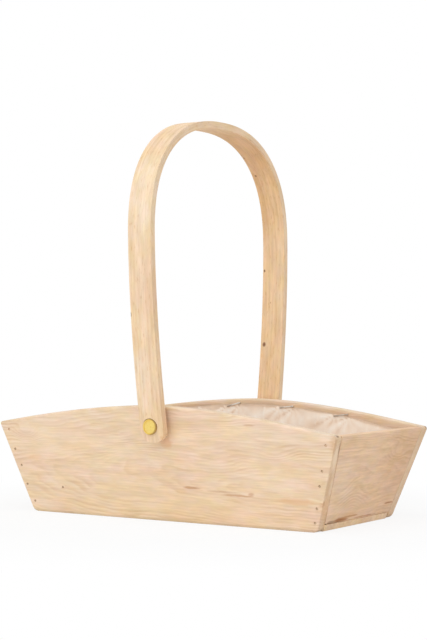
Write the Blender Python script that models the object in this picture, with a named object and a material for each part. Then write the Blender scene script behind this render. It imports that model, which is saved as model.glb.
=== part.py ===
"""Wooden garden trug with an arched rim, a swinging bentwood hoop handle and a stapled film liner.

Frame: X runs along the trug, Y across it, Z up. The origin is on the ground under the middle.
The box is the same after half a turn about Z, so one mesh serves both of each pair of boards.
The handle's pivots sit a little to the right of the middle, and the handle leans a little to the left.
"""
import math

import bmesh
import bpy
from mathutils import Matrix, Vector

# Box, outer sizes in metres
RIM_LENGTH = 0.300
FOOT_LENGTH = 0.254
RIM_WIDTH = 0.154
FOOT_WIDTH = 0.122
CORNER_HEIGHT = 0.0705
CROWN_HEIGHT = 0.088
RIM_CURVE_POWER = 1.65
BOARD = 0.0095
BASE_BOARD = 0.005
RIM_ROUND = 0.0026
EDGE_EASE = 0.0006
RIM_CORNER_RADIUS = 0.0022
RIM_ROUND_FADE_LENGTH = 0.014
FOOT_CORNER_RADIUS = 0.005
BASE_END_SETBACK = 0.0005
FOOT_GAP_RISE = 0.0024
FOOT_GAP_LENGTH = 0.026

# Handle strap and the shape it is bent to
STRAP_WIDTH = 0.0201
STRAP_THICKNESS = 0.0056
STRAP_EDGE_ROUND = 0.0011
STRAP_END_RADIUS = 0.0085
STRAP_TAIL = 0.012
STRAP_OFF_CENTRE = 0.0012
HANDLE_LEAN_DEGREES = 1.03
HANDLE_HEIGHT = 0.3065
HOOP_WIDTH = 0.205
HOOP_WIDEST_HEIGHT = 0.215
CROWN_CURVE_POWER = 2.35
LEG_CURVE_POWER = 1.8

# Pivot hardware
PIVOT_HEIGHT = 0.0725
PIVOT_OFF_CENTRE = 0.0008
BOLT_DIAMETER = 0.005
CAP_DIAMETER = 0.012
CAP_HEIGHT = 0.0027
CAP_RIM = 0.0007
CAP_SEAT_DEPTH = 0.0004
SPACER_DIAMETER = 0.012
SPACER_LENGTH = 0.00344
WASHER_DIAMETER = 0.011
WASHER_THICKNESS = 0.0008
NUT_ACROSS_FLATS = 0.008
NUT_HEIGHT = 0.0027
NUT_RECESS_DEPTH = 0.0052
NUT_RECESS_DIAMETER = 0.0135
RUNNING_CLEARANCE = 0.0004

# Nails
BRAD_HEIGHT_SHARES = {-1: (0.115, 0.304, 0.516, 0.698, 0.919), 1: (0.102, 0.252, 0.487, 0.643, 0.909)}
BRAD_INSET_SHARES = {-1: (0.48, 0.36, 0.51, 0.51, 0.67), 1: (0.33, 0.41, 0.54, 0.58, 0.69)}
BRAD_HEAD_DIAMETER = 0.0019
BRAD_HEAD_DEPTH = 0.0008
BRAD_SHANK_DIAMETER = 0.0013
BRAD_LENGTH = 0.020
BRAD_POINT = 0.0022
BASE_NAIL_COUNT = 3
BASE_NAIL_LENGTH = 0.016
HEAD_SINK = 0.0002

# Staples
SIDE_STAPLE_SLANTS = (0.14, 0.14, 0.28, 0.08)
SIDE_STAPLE_PITCH = 0.050
SIDE_STAPLE_OFFSET = 0.0035
END_STAPLE_COUNT = 2
END_STAPLE_PITCH = 0.054
STAPLE_CROWN = 0.0128
STAPLE_LEG = 0.0085
STAPLE_WIRE_WIDTH = 0.0011
STAPLE_WIRE_THICKNESS = 0.0006
STAPLE_BEND_RADIUS = 0.0007
STAPLE_BELOW_RIM = 0.0047

# Liner film
LINER_FILM = 0.0006
LINER_BELOW_RIM = 0.0028
LINER_CORNER_RADIUS = 0.006
PLEAT_DEPTH = 0.0030
PLEATS_PER_SPAN = 3

# Clearances
JOINT_GAP = 0.0003
CUT_OVERRUN = 0.002
WELD_DISTANCE = 0.0001

# How far from the corner the rim's own points end, as a share of the corner's radius
RIM_CLEAR_OF_CORNER_SHARE = 1.5

# Numbers of flats
RIM_FLATS = 28
RIM_ROUND_FLATS = 3
CORNER_FLATS = 5
TURNED_SIDES = 24
STAPLE_BEND_FLATS = 3
NUT_SIDES = 24
NAIL_SIDES = 8
CROWN_FLATS = 36
LEG_FLATS = 12

# Points of the liner's mesh, and how its pleats run
LINER_SIDE_COLUMNS = 40
LINER_END_COLUMNS = 12
LINER_CORNER_COLUMNS = 3
LINER_ROW_SHARES = (0.0, 0.4, 0.7, 0.87, 1.0)
PLEAT_RIPPLE_SHARE = 0.45
PLEAT_FADE_POWER = 1.6

# Staple points, shares of the wire's width and of its leg
STAPLE_POINT_SHARE = 0.3
STAPLE_TAPER_SHARE = 0.2
NAIL_TIP_SHARE = 0.15
CAP_DOME_FLATS = 5
BASE_NAIL_SPREAD_SHARE = 0.62

# Sizes that follow from the ones above
SPLAY = (RIM_WIDTH - FOOT_WIDTH) / 2 / CORNER_HEIGHT
SLANT = (RIM_LENGTH - FOOT_LENGTH) / 2 / CORNER_HEIGHT
SIDE_BOARD_DEPTH = BOARD * math.hypot(1.0, SPLAY)
END_BOARD_DEPTH = BOARD * math.hypot(1.0, SLANT)

WOOD = dict(color=(0.85, 0.66, 0.46), roughness=0.62, metallic=0.0)
HANDLE_WOOD = dict(color=(0.87, 0.70, 0.48), roughness=0.58, metallic=0.0)
BRASS = dict(color=(0.83, 0.62, 0.24), roughness=0.28, metallic=1.0)
STEEL = dict(color=(0.55, 0.54, 0.52), roughness=0.38, metallic=1.0)
FILM = dict(color=(0.84, 0.68, 0.54), roughness=0.30, metallic=0.0)


def outer_half_width(z):
    """Half the box's width over the outer faces of its side boards, at a height."""
    return FOOT_WIDTH / 2 + SPLAY * z


def outer_half_length(z):
    """Half the box's length over the outer faces of its end boards, at a height."""
    return FOOT_LENGTH / 2 + SLANT * z


def inner_half_width(z):
    return outer_half_width(z) - SIDE_BOARD_DEPTH


def inner_half_length(z):
    return outer_half_length(z) - END_BOARD_DEPTH


def rim_height(x):
    """Height of the arched top edge of a side board."""
    share = min(abs(2 * x / RIM_LENGTH), 1.0)
    return CORNER_HEIGHT + (CROWN_HEIGHT - CORNER_HEIGHT) * (1.0 - share ** RIM_CURVE_POWER)


def rim_points_reach():
    """How far from the middle the rim's own points go before the rounded corner takes over."""
    return RIM_LENGTH / 2 - RIM_CLEAR_OF_CORNER_SHARE * RIM_CORNER_RADIUS


def rim_round(x):
    """Width of the rim's rounding at a place along the rim; it fades to a plain ease at the corners."""
    share = (rim_points_reach() - abs(x)) / RIM_ROUND_FADE_LENGTH
    return EDGE_EASE + (RIM_ROUND - EDGE_EASE) * min(max(share, 0.0), 1.0)


def clear_scene():
    for item in list(bpy.data.objects):
        bpy.data.objects.remove(item, do_unlink=True)


def material(name, finish):
    """A plain Principled material for one sub-part."""
    made = bpy.data.materials.new(name)
    made.use_nodes = True
    shader = made.node_tree.nodes["Principled BSDF"]
    shader.inputs["Base Color"].default_value = (*finish["color"], 1.0)
    shader.inputs["Roughness"].default_value = finish["roughness"]
    shader.inputs["Metallic"].default_value = finish["metallic"]
    return made


def add_object(name, bm, finish, turned=False, smooth=False):
    """Link a mesh as a named sub-part, turned half round for the second of a pair."""
    bmesh.ops.recalc_face_normals(bm, faces=bm.faces)
    mesh = bpy.data.meshes.new(name)
    bm.to_mesh(mesh)
    bm.free()
    mesh.materials.append(material(name, finish))
    if smooth:
        mesh.shade_smooth()
        mesh.set_sharp_from_angle(angle=math.radians(35))
    made = bpy.data.objects.new(name, mesh)
    bpy.context.scene.collection.objects.link(made)
    made.rotation_euler.z = math.pi if turned else 0.0
    return made


def add_cutter(name, bm, turned=False):
    """A cutter is a guide, so it is drawn as wire and hidden from the finished part."""
    made = add_object(name, bm, WOOD, turned)
    made.hide_render = True
    made.display_type = "WIRE"
    return made


def cut(target, cutter):
    step = target.modifiers.new(cutter.name, "BOOLEAN")
    step.operation = "DIFFERENCE"
    step.solver = "EXACT"
    step.object = cutter


def fillet(before, corner, after, radius, flats):
    """Points of a round corner between two straight edges, as 2D vectors."""
    into = (before - corner).normalized()
    out = (after - corner).normalized()
    half = into.angle(out) / 2
    centre = corner + (into + out).normalized() * (radius / math.sin(half))
    start = corner + into * (radius / math.tan(half)) - centre
    sweep = start.angle_signed(corner + out * (radius / math.tan(half)) - centre)
    points = []
    for step in range(flats + 1):
        turn = Matrix.Rotation(-sweep * step / flats, 2)
        points.append(centre + turn @ start)
    return points


def prism(front, back, weights):
    """Solid between two like outlines, with a bevel weight on each outline edge."""
    bm = bmesh.new()
    layer = bm.edges.layers.float.new("bevel_weight_edge")
    near = [bm.verts.new(point) for point in front]
    far = [bm.verts.new(point) for point in back]
    bm.faces.new(near)
    bm.faces.new(list(reversed(far)))
    count = len(near)
    for index in range(count):
        after = (index + 1) % count
        bm.faces.new((near[after], near[index], far[index], far[after]))
        for ring in (near, far):
            edge = bm.edges.get((ring[index], ring[after]))
            edge[layer] = weights[index]
    return bm


def weighted_bevel(target, width, segments):
    """Round the weighted edges, then weld the slivers left where two rounds meet."""
    step = target.modifiers.new("rounded edges", "BEVEL")
    step.limit_method = "WEIGHT"
    step.width = width
    step.segments = segments
    weld = target.modifiers.new("weld", "WELD")
    weld.merge_threshold = WELD_DISTANCE


def turned_solid(profile, sides, place):
    """Closed solid turned about the Y axis from (radius, y) pairs that start and end on the axis."""
    bm = bmesh.new()
    points = [bm.verts.new((radius, y, 0.0)) for radius, y in profile]
    edges = [bm.edges.new(pair) for pair in zip(points, points[1:])]
    bmesh.ops.spin(bm, geom=points + edges, cent=(0, 0, 0), axis=(0, 1, 0),
                   angle=math.tau, steps=sides, use_merge=True)
    bmesh.ops.remove_doubles(bm, verts=bm.verts, dist=WELD_DISTANCE / 10)
    bmesh.ops.transform(bm, matrix=place, verts=bm.verts)
    return bm


def merge(pieces):
    """One mesh that holds several separate cutter bodies."""
    whole = bmesh.new()
    for piece in pieces:
        bmesh.ops.recalc_face_normals(piece, faces=piece.faces)
        mesh = bpy.data.meshes.new("piece")
        piece.to_mesh(mesh)
        piece.free()
        whole.from_mesh(mesh)
        bpy.data.meshes.remove(mesh)
    return whole


# Side boards

def side_outline():
    """Outline of a side board seen from the front, as (x, z), and the width of the rounding at each point."""
    foot = Vector((FOOT_LENGTH / 2, 0.0))
    shoulder = Vector((RIM_LENGTH / 2, CORNER_HEIGHT))
    left_foot = Vector((-foot.x, foot.y))
    left_shoulder = Vector((-shoulder.x, shoulder.y))
    rim = []
    for step in range(RIM_FLATS + 1):
        x = RIM_LENGTH / 2 * math.cos(math.pi * step / RIM_FLATS)
        if abs(x) < rim_points_reach():
            rim.append(Vector((x, rim_height(x))))
    right = fillet(left_foot, foot, shoulder, FOOT_CORNER_RADIUS, CORNER_FLATS)
    right += fillet(foot, shoulder, rim[0], RIM_CORNER_RADIUS, CORNER_FLATS)
    left = fillet(rim[-1], left_shoulder, left_foot, RIM_CORNER_RADIUS, CORNER_FLATS)
    left += fillet(left_shoulder, left_foot, foot, FOOT_CORNER_RADIUS, CORNER_FLATS)
    widths = [EDGE_EASE] * len(right) + [rim_round(point.x) for point in rim] + [EDGE_EASE] * len(left)
    return right + rim + left, widths


def inward(points, index):
    """Step from a point of an outline that runs anticlockwise to the outline one unit further in."""
    before = (points[index] - points[index - 1]).normalized()
    after = (points[(index + 1) % len(points)] - points[index]).normalized()
    run = (before + after).normalized()
    return Vector((-run.y, run.x)) / run.dot(before)


def round_stations():
    """Section of a board's edge from its outer to its inner face, for a rounding one unit wide.

    Each station is (how far in from the outline, how far from its face, whether that is the inner face).
    """
    outer = []
    for step in range(RIM_ROUND_FLATS + 1):
        turn = math.pi / 2 * step / RIM_ROUND_FLATS
        outer.append((1.0 - math.sin(turn), 1.0 - math.cos(turn), False))
    return outer + [(inset, depth, True) for inset, depth, _ in reversed(outer)]


def side_board(name, turned):
    """Splayed board with an arched, rounded rim, its foot cut level so that it stands flat."""
    points, widths = side_outline()
    bm = bmesh.new()
    loops = []
    for inset, depth, on_inner_face in round_stations():
        loop = []
        for index, (point, width) in enumerate(zip(points, widths)):
            x, z = point + inward(points, index) * inset * width
            if on_inner_face:
                y = inner_half_width(z) + depth * width
            else:
                y = outer_half_width(z) - depth * width
            loop.append(bm.verts.new((x, -y, z)))
        loops.append(loop)
    for low, high in zip(loops, loops[1:]):
        for index in range(len(low)):
            after = (index + 1) % len(low)
            bm.faces.new((low[index], low[after], high[after], high[index]))
    bm.faces.new(list(reversed(loops[0])))
    bm.faces.new(loops[-1])
    return add_object(name, bm, WOOD, turned, smooth=True)


# End boards

def end_board_edge(z):
    """Half the width of an end board at a height."""
    return inner_half_width(z) - JOINT_GAP


def end_board(name, turned):
    """Slanted board held between the side boards, standing on the base board.

    Its foot is planed off outside at one corner, so that a wedge of shadow shows under it.
    """
    foot = BASE_BOARD + JOINT_GAP
    planed = foot + FOOT_GAP_RISE
    taper = FOOT_GAP_LENGTH - end_board_edge(foot)
    outer = []
    inner = []
    for y, outer_z, inner_z in (
            (-end_board_edge(planed), planed, foot),
            (taper, foot, foot),
            (end_board_edge(foot), foot, foot),
            (end_board_edge(CORNER_HEIGHT), CORNER_HEIGHT, CORNER_HEIGHT),
            (-end_board_edge(CORNER_HEIGHT), CORNER_HEIGHT, CORNER_HEIGHT)):
        outer.append((outer_half_length(outer_z), y, outer_z))
        inner.append((inner_half_length(inner_z), max(y, -end_board_edge(inner_z)), inner_z))
    board = add_object(name, prism(outer, inner, (0.0, 0.0, 0.0, 1.0, 0.0)), WOOD, turned, smooth=True)
    weighted_bevel(board, RIM_ROUND, 3)
    return board


# Base board

def base_board():
    """Thin board between the side boards, with its long edges cut to their splay."""
    ease = EDGE_EASE / RIM_ROUND
    levels = (0.0, BASE_BOARD)
    rings = []
    for z in levels:
        x = outer_half_length(z) - BASE_END_SETBACK
        y = inner_half_width(z) - JOINT_GAP
        rings.append([(x, -y, z), (x, y, z), (-x, y, z), (-x, -y, z)])
    board = add_object("base_board", prism(rings[0], rings[1], (ease, 0.0, ease, 0.0)), WOOD)
    weighted_bevel(board, RIM_ROUND, 1)
    return board


# Nails

def nail_profile(length):
    head = BRAD_HEAD_DIAMETER / 2
    shank = BRAD_SHANK_DIAMETER / 2
    return [(0.0, 0.0), (head, 0.0), (head, BRAD_HEAD_DEPTH), (shank, BRAD_HEAD_DEPTH),
            (shank, length - BRAD_POINT), (shank * NAIL_TIP_SHARE, length), (0.0, length)]


def nail_hole_profile(length):
    head = BRAD_HEAD_DIAMETER / 2 + JOINT_GAP
    shank = BRAD_SHANK_DIAMETER / 2 + JOINT_GAP
    step = BRAD_HEAD_DEPTH + JOINT_GAP
    end = length + JOINT_GAP
    start = -CUT_OVERRUN
    return [(0.0, start), (head, start), (head, step), (shank, step), (shank, end), (0.0, end)]


def brad_places(end):
    """Where the brads of a corner of the front board start, from the lowest up; end is -1 or 1 along X.

    They were driven by hand, so their heights and their insets from the board's end are uneven.
    """
    places = []
    for height_share, inset_share in zip(BRAD_HEIGHT_SHARES[end], BRAD_INSET_SHARES[end]):
        z = height_share * CORNER_HEIGHT
        x = end * (outer_half_length(z) - inset_share * END_BOARD_DEPTH)
        places.append(Matrix.Translation((x, HEAD_SINK - outer_half_width(z), z)))
    return places


def corner_brads(side, turned, boards):
    """Brads through a side board into the ends of both end boards, with their holes."""
    for end in (-1, 1):
        name = "left" if (end < 0) != turned else "right"
        for index, place in enumerate(brad_places(end)):
            bm = turned_solid(nail_profile(BRAD_LENGTH), NAIL_SIDES, place)
            add_object(f"{side}_{name}_brad_{index + 1}", bm, STEEL, turned)
    places = brad_places(-1) + brad_places(1)
    holes = merge(turned_solid(nail_hole_profile(BRAD_LENGTH), NAIL_SIDES, place) for place in places)
    cutter = add_cutter(f"{side}_brad_holes", holes, turned)
    for board in boards:
        cut(board, cutter)


def base_nails(end, turned, boards):
    """Nails driven up through the base board into the foot of an end board."""
    upright = Matrix.Rotation(math.pi / 2, 4, "X")
    reach = BASE_NAIL_SPREAD_SHARE * inner_half_width(0.0)
    x = outer_half_length(BASE_NAIL_LENGTH / 2) - END_BOARD_DEPTH / 2
    places = []
    for index in range(BASE_NAIL_COUNT):
        y = reach * (2 * index / (BASE_NAIL_COUNT - 1) - 1)
        places.append(Matrix.Translation((x, y, HEAD_SINK)) @ upright)
    for index, place in enumerate(places):
        bm = turned_solid(nail_profile(BASE_NAIL_LENGTH), NAIL_SIDES, place)
        add_object(f"{end}_base_nail_{index + 1}", bm, STEEL, turned)
    holes = merge(turned_solid(nail_hole_profile(BASE_NAIL_LENGTH), NAIL_SIDES, place) for place in places)
    cutter = add_cutter(f"{end}_base_nail_holes", holes, turned)
    for board in boards:
        cut(board, cutter)


# Liner

def liner_half_length(z):
    return inner_half_length(z) - JOINT_GAP


def liner_half_width(z):
    return inner_half_width(z) - JOINT_GAP


def liner_top(x):
    """Height of the film's top edge, which follows the rim and meets the end boards' edge at the corners."""
    reach = liner_half_length(CORNER_HEIGHT - LINER_BELOW_RIM)
    return rim_height(x * RIM_LENGTH / 2 / reach) - LINER_BELOW_RIM


def staple_offsets(count, pitch):
    return [pitch * (index - (count - 1) / 2) for index in range(count)]


def side_staple_offsets():
    """Places of the front board's staples along X; their row sits a little to one side."""
    return [x - SIDE_STAPLE_OFFSET for x in staple_offsets(len(SIDE_STAPLE_SLANTS), SIDE_STAPLE_PITCH)]


def pleat(position, reach, offsets):
    """How far the film stands off the wall at its top edge: nothing under a staple, pleats between."""
    stops = [-reach]
    for offset in offsets:
        stops += [offset - STAPLE_CROWN / 2, offset + STAPLE_CROWN / 2]
    stops.append(reach)
    for low, high in zip(stops[0::2], stops[1::2]):
        if low < position < high:
            share = (position - low) / (high - low)
            ripple = 1.0 - PLEAT_RIPPLE_SHARE * (1.0 - math.cos(math.tau * PLEATS_PER_SPAN * share)) / 2
            return PLEAT_DEPTH * math.sin(math.pi * share) ** 2 * ripple
    return 0.0


def liner_columns():
    """Columns round half the film's wall: direction facing out, place along its wall, and pleat depth."""
    side = side_staple_offsets()
    end = staple_offsets(END_STAPLE_COUNT, END_STAPLE_PITCH)
    top = CORNER_HEIGHT - LINER_BELOW_RIM
    side_reach = liner_half_length(top) - LINER_CORNER_RADIUS
    end_reach = liner_half_width(top) - LINER_CORNER_RADIUS
    columns = []
    for step in range(LINER_SIDE_COLUMNS + 1):
        share = 2 * step / LINER_SIDE_COLUMNS - 1
        columns.append((-math.pi / 2, share, 0.0, pleat(share * side_reach, side_reach, side)))
    for step in range(1, LINER_CORNER_COLUMNS):
        columns.append((-math.pi / 2 + math.pi / 2 * step / LINER_CORNER_COLUMNS, 1.0, -1.0, 0.0))
    for step in range(LINER_END_COLUMNS + 1):
        share = 2 * step / LINER_END_COLUMNS - 1
        columns.append((0.0, 1.0, share, pleat(share * end_reach, end_reach, end)))
    for step in range(1, LINER_CORNER_COLUMNS):
        columns.append((math.pi / 2 * step / LINER_CORNER_COLUMNS, 1.0, 1.0, 0.0))
    return columns


def liner_point(column, row, inset, turn):
    """A point of the film, from its column, its share of the wall's height and its inset from the board."""
    facing, along, across, depth = column
    floor = BASE_BOARD + JOINT_GAP + inset
    top_reach = liner_half_length(CORNER_HEIGHT) - LINER_CORNER_RADIUS
    height = liner_top(along * top_reach + LINER_CORNER_RADIUS * math.cos(facing))
    z = floor + (height - floor) * row
    stand = inset + depth * row ** PLEAT_FADE_POWER
    radius = LINER_CORNER_RADIUS
    x = along * (liner_half_length(z) - radius) + math.cos(facing) * (radius - stand)
    if facing == -math.pi / 2:
        y = -liner_half_width(z) + stand
    else:
        y = across * (liner_half_width(z) - radius) + math.sin(facing) * (radius - stand)
    return (x * turn, y * turn, z)


def liner():
    """Film tub: an outer and an inner skin that meet at the pleated top edge, pierced by the staples."""
    bm = bmesh.new()
    columns = liner_columns()
    rings = []
    for inset, rows in ((0.0, LINER_ROW_SHARES), (LINER_FILM, reversed(LINER_ROW_SHARES))):
        for row in rows:
            points = [liner_point(column, row, inset, turn) for turn in (1, -1) for column in columns]
            rings.append([bm.verts.new(point) for point in points])
    count = len(rings[0])
    for low, high in zip(rings, rings[1:]):
        for index in range(count):
            after = (index + 1) % count
            bm.faces.new((low[index], low[after], high[after], high[index]))
    bm.faces.new(list(reversed(rings[0])))
    bm.faces.new(rings[-1])
    return add_object("liner", bm, FILM, smooth=True)


# Staples

def staple_stations():
    """Path of the wire: centre, angle of its outward side and width share, from one point to the other."""
    reach = (STAPLE_CROWN - STAPLE_WIRE_THICKNESS) / 2
    radius = STAPLE_BEND_RADIUS
    taper = STAPLE_LEG * STAPLE_TAPER_SHARE
    stations = [(-reach, -STAPLE_LEG, math.pi, STAPLE_POINT_SHARE)]
    stations.append((-reach, taper - STAPLE_LEG, math.pi, 1.0))
    for side, first in ((-1, math.pi), (1, math.pi / 2)):
        for step in range(STAPLE_BEND_FLATS + 1):
            angle = first - math.pi / 2 * step / STAPLE_BEND_FLATS
            x = side * (reach - radius) + radius * math.cos(angle)
            stations.append((x, radius * math.sin(angle) - radius, angle, 1.0))
    stations += [(reach, taper - STAPLE_LEG, 0.0, 1.0), (reach, -STAPLE_LEG, 0.0, STAPLE_POINT_SHARE)]
    return stations


def staple_mesh(place):
    """U of flat wire with its crown along X and its legs towards -Y, with chisel points."""
    bm = bmesh.new()
    rings = []
    for x, y, angle, share in staple_stations():
        half = STAPLE_WIRE_THICKNESS / 2 * share
        ring = []
        side = Vector((math.cos(angle), math.sin(angle), 0.0)) * half
        for up, out in ((-1, -1), (1, -1), (1, 1), (-1, 1)):
            ring.append(bm.verts.new(Vector((x, y, up * STAPLE_WIRE_WIDTH / 2)) + out * side))
        rings.append(ring)
    for low, high in zip(rings, rings[1:]):
        for index in range(len(low)):
            after = (index + 1) % len(low)
            bm.faces.new((low[index], low[after], high[after], high[index]))
    bm.faces.new(list(reversed(rings[0])))
    bm.faces.new(rings[-1])
    bmesh.ops.transform(bm, matrix=place, verts=bm.verts)
    return bm


def block(low, high, place):
    """Rectangular solid between two corners."""
    bm = bmesh.new()
    bmesh.ops.create_cube(bm, size=1.0)
    size = Vector(high) - Vector(low)
    middle = (Vector(high) + Vector(low)) / 2
    shape = Matrix.Translation(middle) @ Matrix.Diagonal((*size, 1.0))
    bmesh.ops.transform(bm, matrix=place @ shape, verts=bm.verts)
    return bm


def staple_holes(place):
    """Clearance holes for a staple's two legs, through the film and into the board."""
    reach = (STAPLE_CROWN - STAPLE_WIRE_THICKNESS) / 2
    wide = STAPLE_WIRE_THICKNESS / 2 + JOINT_GAP
    tall = STAPLE_WIRE_WIDTH / 2 + JOINT_GAP
    bottom = -STAPLE_LEG - JOINT_GAP
    return [block((x - wide, bottom, -tall), (x + wide, CUT_OVERRUN, tall), place) for x in (-reach, reach)]


def staple_seat(slope):
    """Distance from the board's inner face to the middle of a staple's crown."""
    return JOINT_GAP + LINER_FILM + JOINT_GAP + STAPLE_WIRE_THICKNESS / 2 + slope * STAPLE_WIRE_WIDTH / 2


def side_staple_places():
    """Places of the front board's staples, each turned by its slant in the plane of the board."""
    places = []
    for x, slant in zip(side_staple_offsets(), SIDE_STAPLE_SLANTS):
        z = rim_height(x) - STAPLE_BELOW_RIM
        aslant = Matrix.Rotation(math.atan(slant), 4, "Y")
        seat = staple_seat(SPLAY) + SPLAY * slant * STAPLE_CROWN / 2
        places.append(Matrix.Translation((x, seat - inner_half_width(z), z)) @ aslant)
    return places


def end_staple_places():
    z = CORNER_HEIGHT - STAPLE_BELOW_RIM
    quarter = Matrix.Rotation(math.pi / 2, 4, "Z")
    places = []
    for y in staple_offsets(END_STAPLE_COUNT, END_STAPLE_PITCH):
        places.append(Matrix.Translation((inner_half_length(z) - staple_seat(SLANT), y, z)) @ quarter)
    return places


def staples(wall, places, turned, board, film):
    """Staples along one wall, with their holes in the film and the board."""
    for index, place in enumerate(places):
        add_object(f"{wall}_staple_{index + 1}", staple_mesh(place), STEEL, turned)
    holes = merge(hole for place in places for hole in staple_holes(place))
    cutter = add_cutter(f"{wall}_staple_holes", holes, turned)
    cut(board, cutter)
    cut(film, cutter)


# Handle

def spacer_face():
    """Distance from the middle plane to the spacer's outer face, which the strap bears on."""
    return outer_half_width(PIVOT_HEIGHT) + JOINT_GAP + SPACER_LENGTH


def leg_lean():
    """Slope of the straight lower leg, sideways over upward.

    The strap clears the spacer's outer edge and leans out to the hoop's widest place, so the room between
    them is reach * lean + thickness * hypot(1, lean), a quadratic in the lean.
    """
    room = HOOP_WIDTH / 2 - spacer_face() - JOINT_GAP
    reach = (HOOP_WIDEST_HEIGHT - PIVOT_HEIGHT) / LEG_CURVE_POWER + SPACER_DIAMETER / 2
    root = math.sqrt(room ** 2 + reach ** 2 - STRAP_THICKNESS ** 2)
    return (room * reach - STRAP_THICKNESS * root) / (reach ** 2 - STRAP_THICKNESS ** 2)


def strap_inner_at_pivot():
    """Distance from the middle plane to the strap's inner face on the pivot's axis."""
    return spacer_face() + JOINT_GAP + leg_lean() * SPACER_DIAMETER / 2


def pivot_outer():
    """Distance from the middle plane to the strap's outer face on the pivot's axis."""
    return strap_inner_at_pivot() + STRAP_THICKNESS * math.hypot(1.0, leg_lean())


def leg_draw():
    """How far each leg draws in from the hoop's widest place down to the pivot."""
    return HOOP_WIDTH / 2 - pivot_outer()


def tail_stations():
    """Rounded lower end of the strap: (y, z, half width) on its outer face, from the end up."""
    along = Vector((leg_lean(), 1.0)).normalized()
    pivot = Vector((pivot_outer(), PIVOT_HEIGHT))
    stations = []
    for step in range(CORNER_FLATS + 1):
        turn = math.pi / 2 * step / CORNER_FLATS
        back = STRAP_TAIL - STRAP_END_RADIUS * (1.0 - math.cos(turn))
        place = pivot - along * back
        stations.append((place.x, place.y, STRAP_WIDTH / 2 - STRAP_END_RADIUS * (1.0 - math.sin(turn))))
    return stations


def hoop_stations():
    """Outer face of the strap over the front half, from its lower end to the crown."""
    stations = tail_stations()
    span = HOOP_WIDEST_HEIGHT - PIVOT_HEIGHT
    for step in range(LEG_FLATS):
        share = 1.0 - step / LEG_FLATS
        y = HOOP_WIDTH / 2 - leg_draw() * share ** LEG_CURVE_POWER
        stations.append((y, HOOP_WIDEST_HEIGHT - span * share, STRAP_WIDTH / 2))
    rise = HANDLE_HEIGHT - HOOP_WIDEST_HEIGHT
    for step in range(CROWN_FLATS // 2 + 1):
        turn = math.pi * step / CROWN_FLATS
        y = HOOP_WIDTH / 2 * abs(math.cos(turn)) ** (2 / CROWN_CURVE_POWER)
        z = HOOP_WIDEST_HEIGHT + rise * math.sin(turn) ** (2 / CROWN_CURVE_POWER)
        stations.append((y if step < CROWN_FLATS // 2 else 0.0, z, STRAP_WIDTH / 2))
    return stations


def handle_hoop():
    """Flat strap bent to a hoop: a rectangular section carried along the hoop, with eased edges."""
    half = hoop_stations()
    path = [(-y, z, wide) for y, z, wide in half] + [(y, z, wide) for y, z, wide in reversed(half[:-1])]
    bm = bmesh.new()
    layer = bm.edges.layers.float.new("bevel_weight_edge")
    rings = []
    for index, (y, z, wide) in enumerate(path):
        before = path[max(index - 1, 0)]
        after = path[min(index + 1, len(path) - 1)]
        run = Vector((after[0] - before[0], after[1] - before[1])).normalized()
        inward = Vector((run.y, -run.x)) * STRAP_THICKNESS
        outer = (y, z - PIVOT_HEIGHT)
        inner = (y + inward.x, z + inward.y - PIVOT_HEIGHT)
        left = STRAP_OFF_CENTRE - wide
        right = STRAP_OFF_CENTRE + wide
        corners = ((left, *outer), (right, *outer), (right, *inner), (left, *inner))
        rings.append([bm.verts.new(corner) for corner in corners])
    for low, high in zip(rings, rings[1:]):
        for index in range(len(low)):
            after = (index + 1) % len(low)
            bm.faces.new((low[index], low[after], high[after], high[index]))
            bm.edges.get((low[index], high[index]))[layer] = 1.0
    for ring in (rings[0], rings[-1]):
        bm.faces.new(ring if ring is rings[-1] else list(reversed(ring)))
        for index in (0, 2):
            bm.edges.get((ring[index], ring[index + 1]))[layer] = 1.0
    strap = add_object("handle_hoop", bm, HANDLE_WOOD, smooth=True)
    strap.location = (PIVOT_OFF_CENTRE, 0.0, PIVOT_HEIGHT)
    strap.rotation_euler.y = -math.radians(HANDLE_LEAN_DEGREES)
    weighted_bevel(strap, STRAP_EDGE_ROUND, 2)
    for side, turned in (("front", False), ("back", True)):
        hole = turned_solid(strap_hole_profile(), TURNED_SIDES, pivot_place(turned))
        cut(strap, add_cutter(f"{side}_strap_hole", hole, turned))
    return strap


# Pivots

def pivot_x(turned):
    """Place of a pivot along X, before the second of the pair is turned half round."""
    return -PIVOT_OFF_CENTRE if turned else PIVOT_OFF_CENTRE


def pivot_place(turned):
    return Matrix.Translation((pivot_x(turned), 0.0, PIVOT_HEIGHT))


def cap_seat():
    """Distance from the middle plane to the flat that the bolt's cap bears on."""
    return pivot_outer() - CAP_SEAT_DEPTH


def nut_floor():
    """Distance from the middle plane to the floor of the nut's recess."""
    return inner_half_width(PIVOT_HEIGHT) + NUT_RECESS_DEPTH


def nut_faces():
    """Distances from the middle plane to the nut's two faces, the inner one last."""
    outer = nut_floor() - WASHER_THICKNESS - 2 * JOINT_GAP
    return outer, outer - NUT_HEIGHT


def strap_hole_profile():
    """Running hole for the bolt, with a round flat for its cap on the strap's leaning outer face."""
    seat = CAP_DIAMETER / 2 + JOINT_GAP
    hole = BOLT_DIAMETER / 2 + RUNNING_CLEARANCE
    far = pivot_outer() + leg_lean() * seat + CUT_OVERRUN
    near = strap_inner_at_pivot() - leg_lean() * seat - CUT_OVERRUN
    return [(0.0, -far), (seat, -far), (seat, -cap_seat()), (hole, -cap_seat()), (hole, -near), (0.0, -near)]


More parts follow.
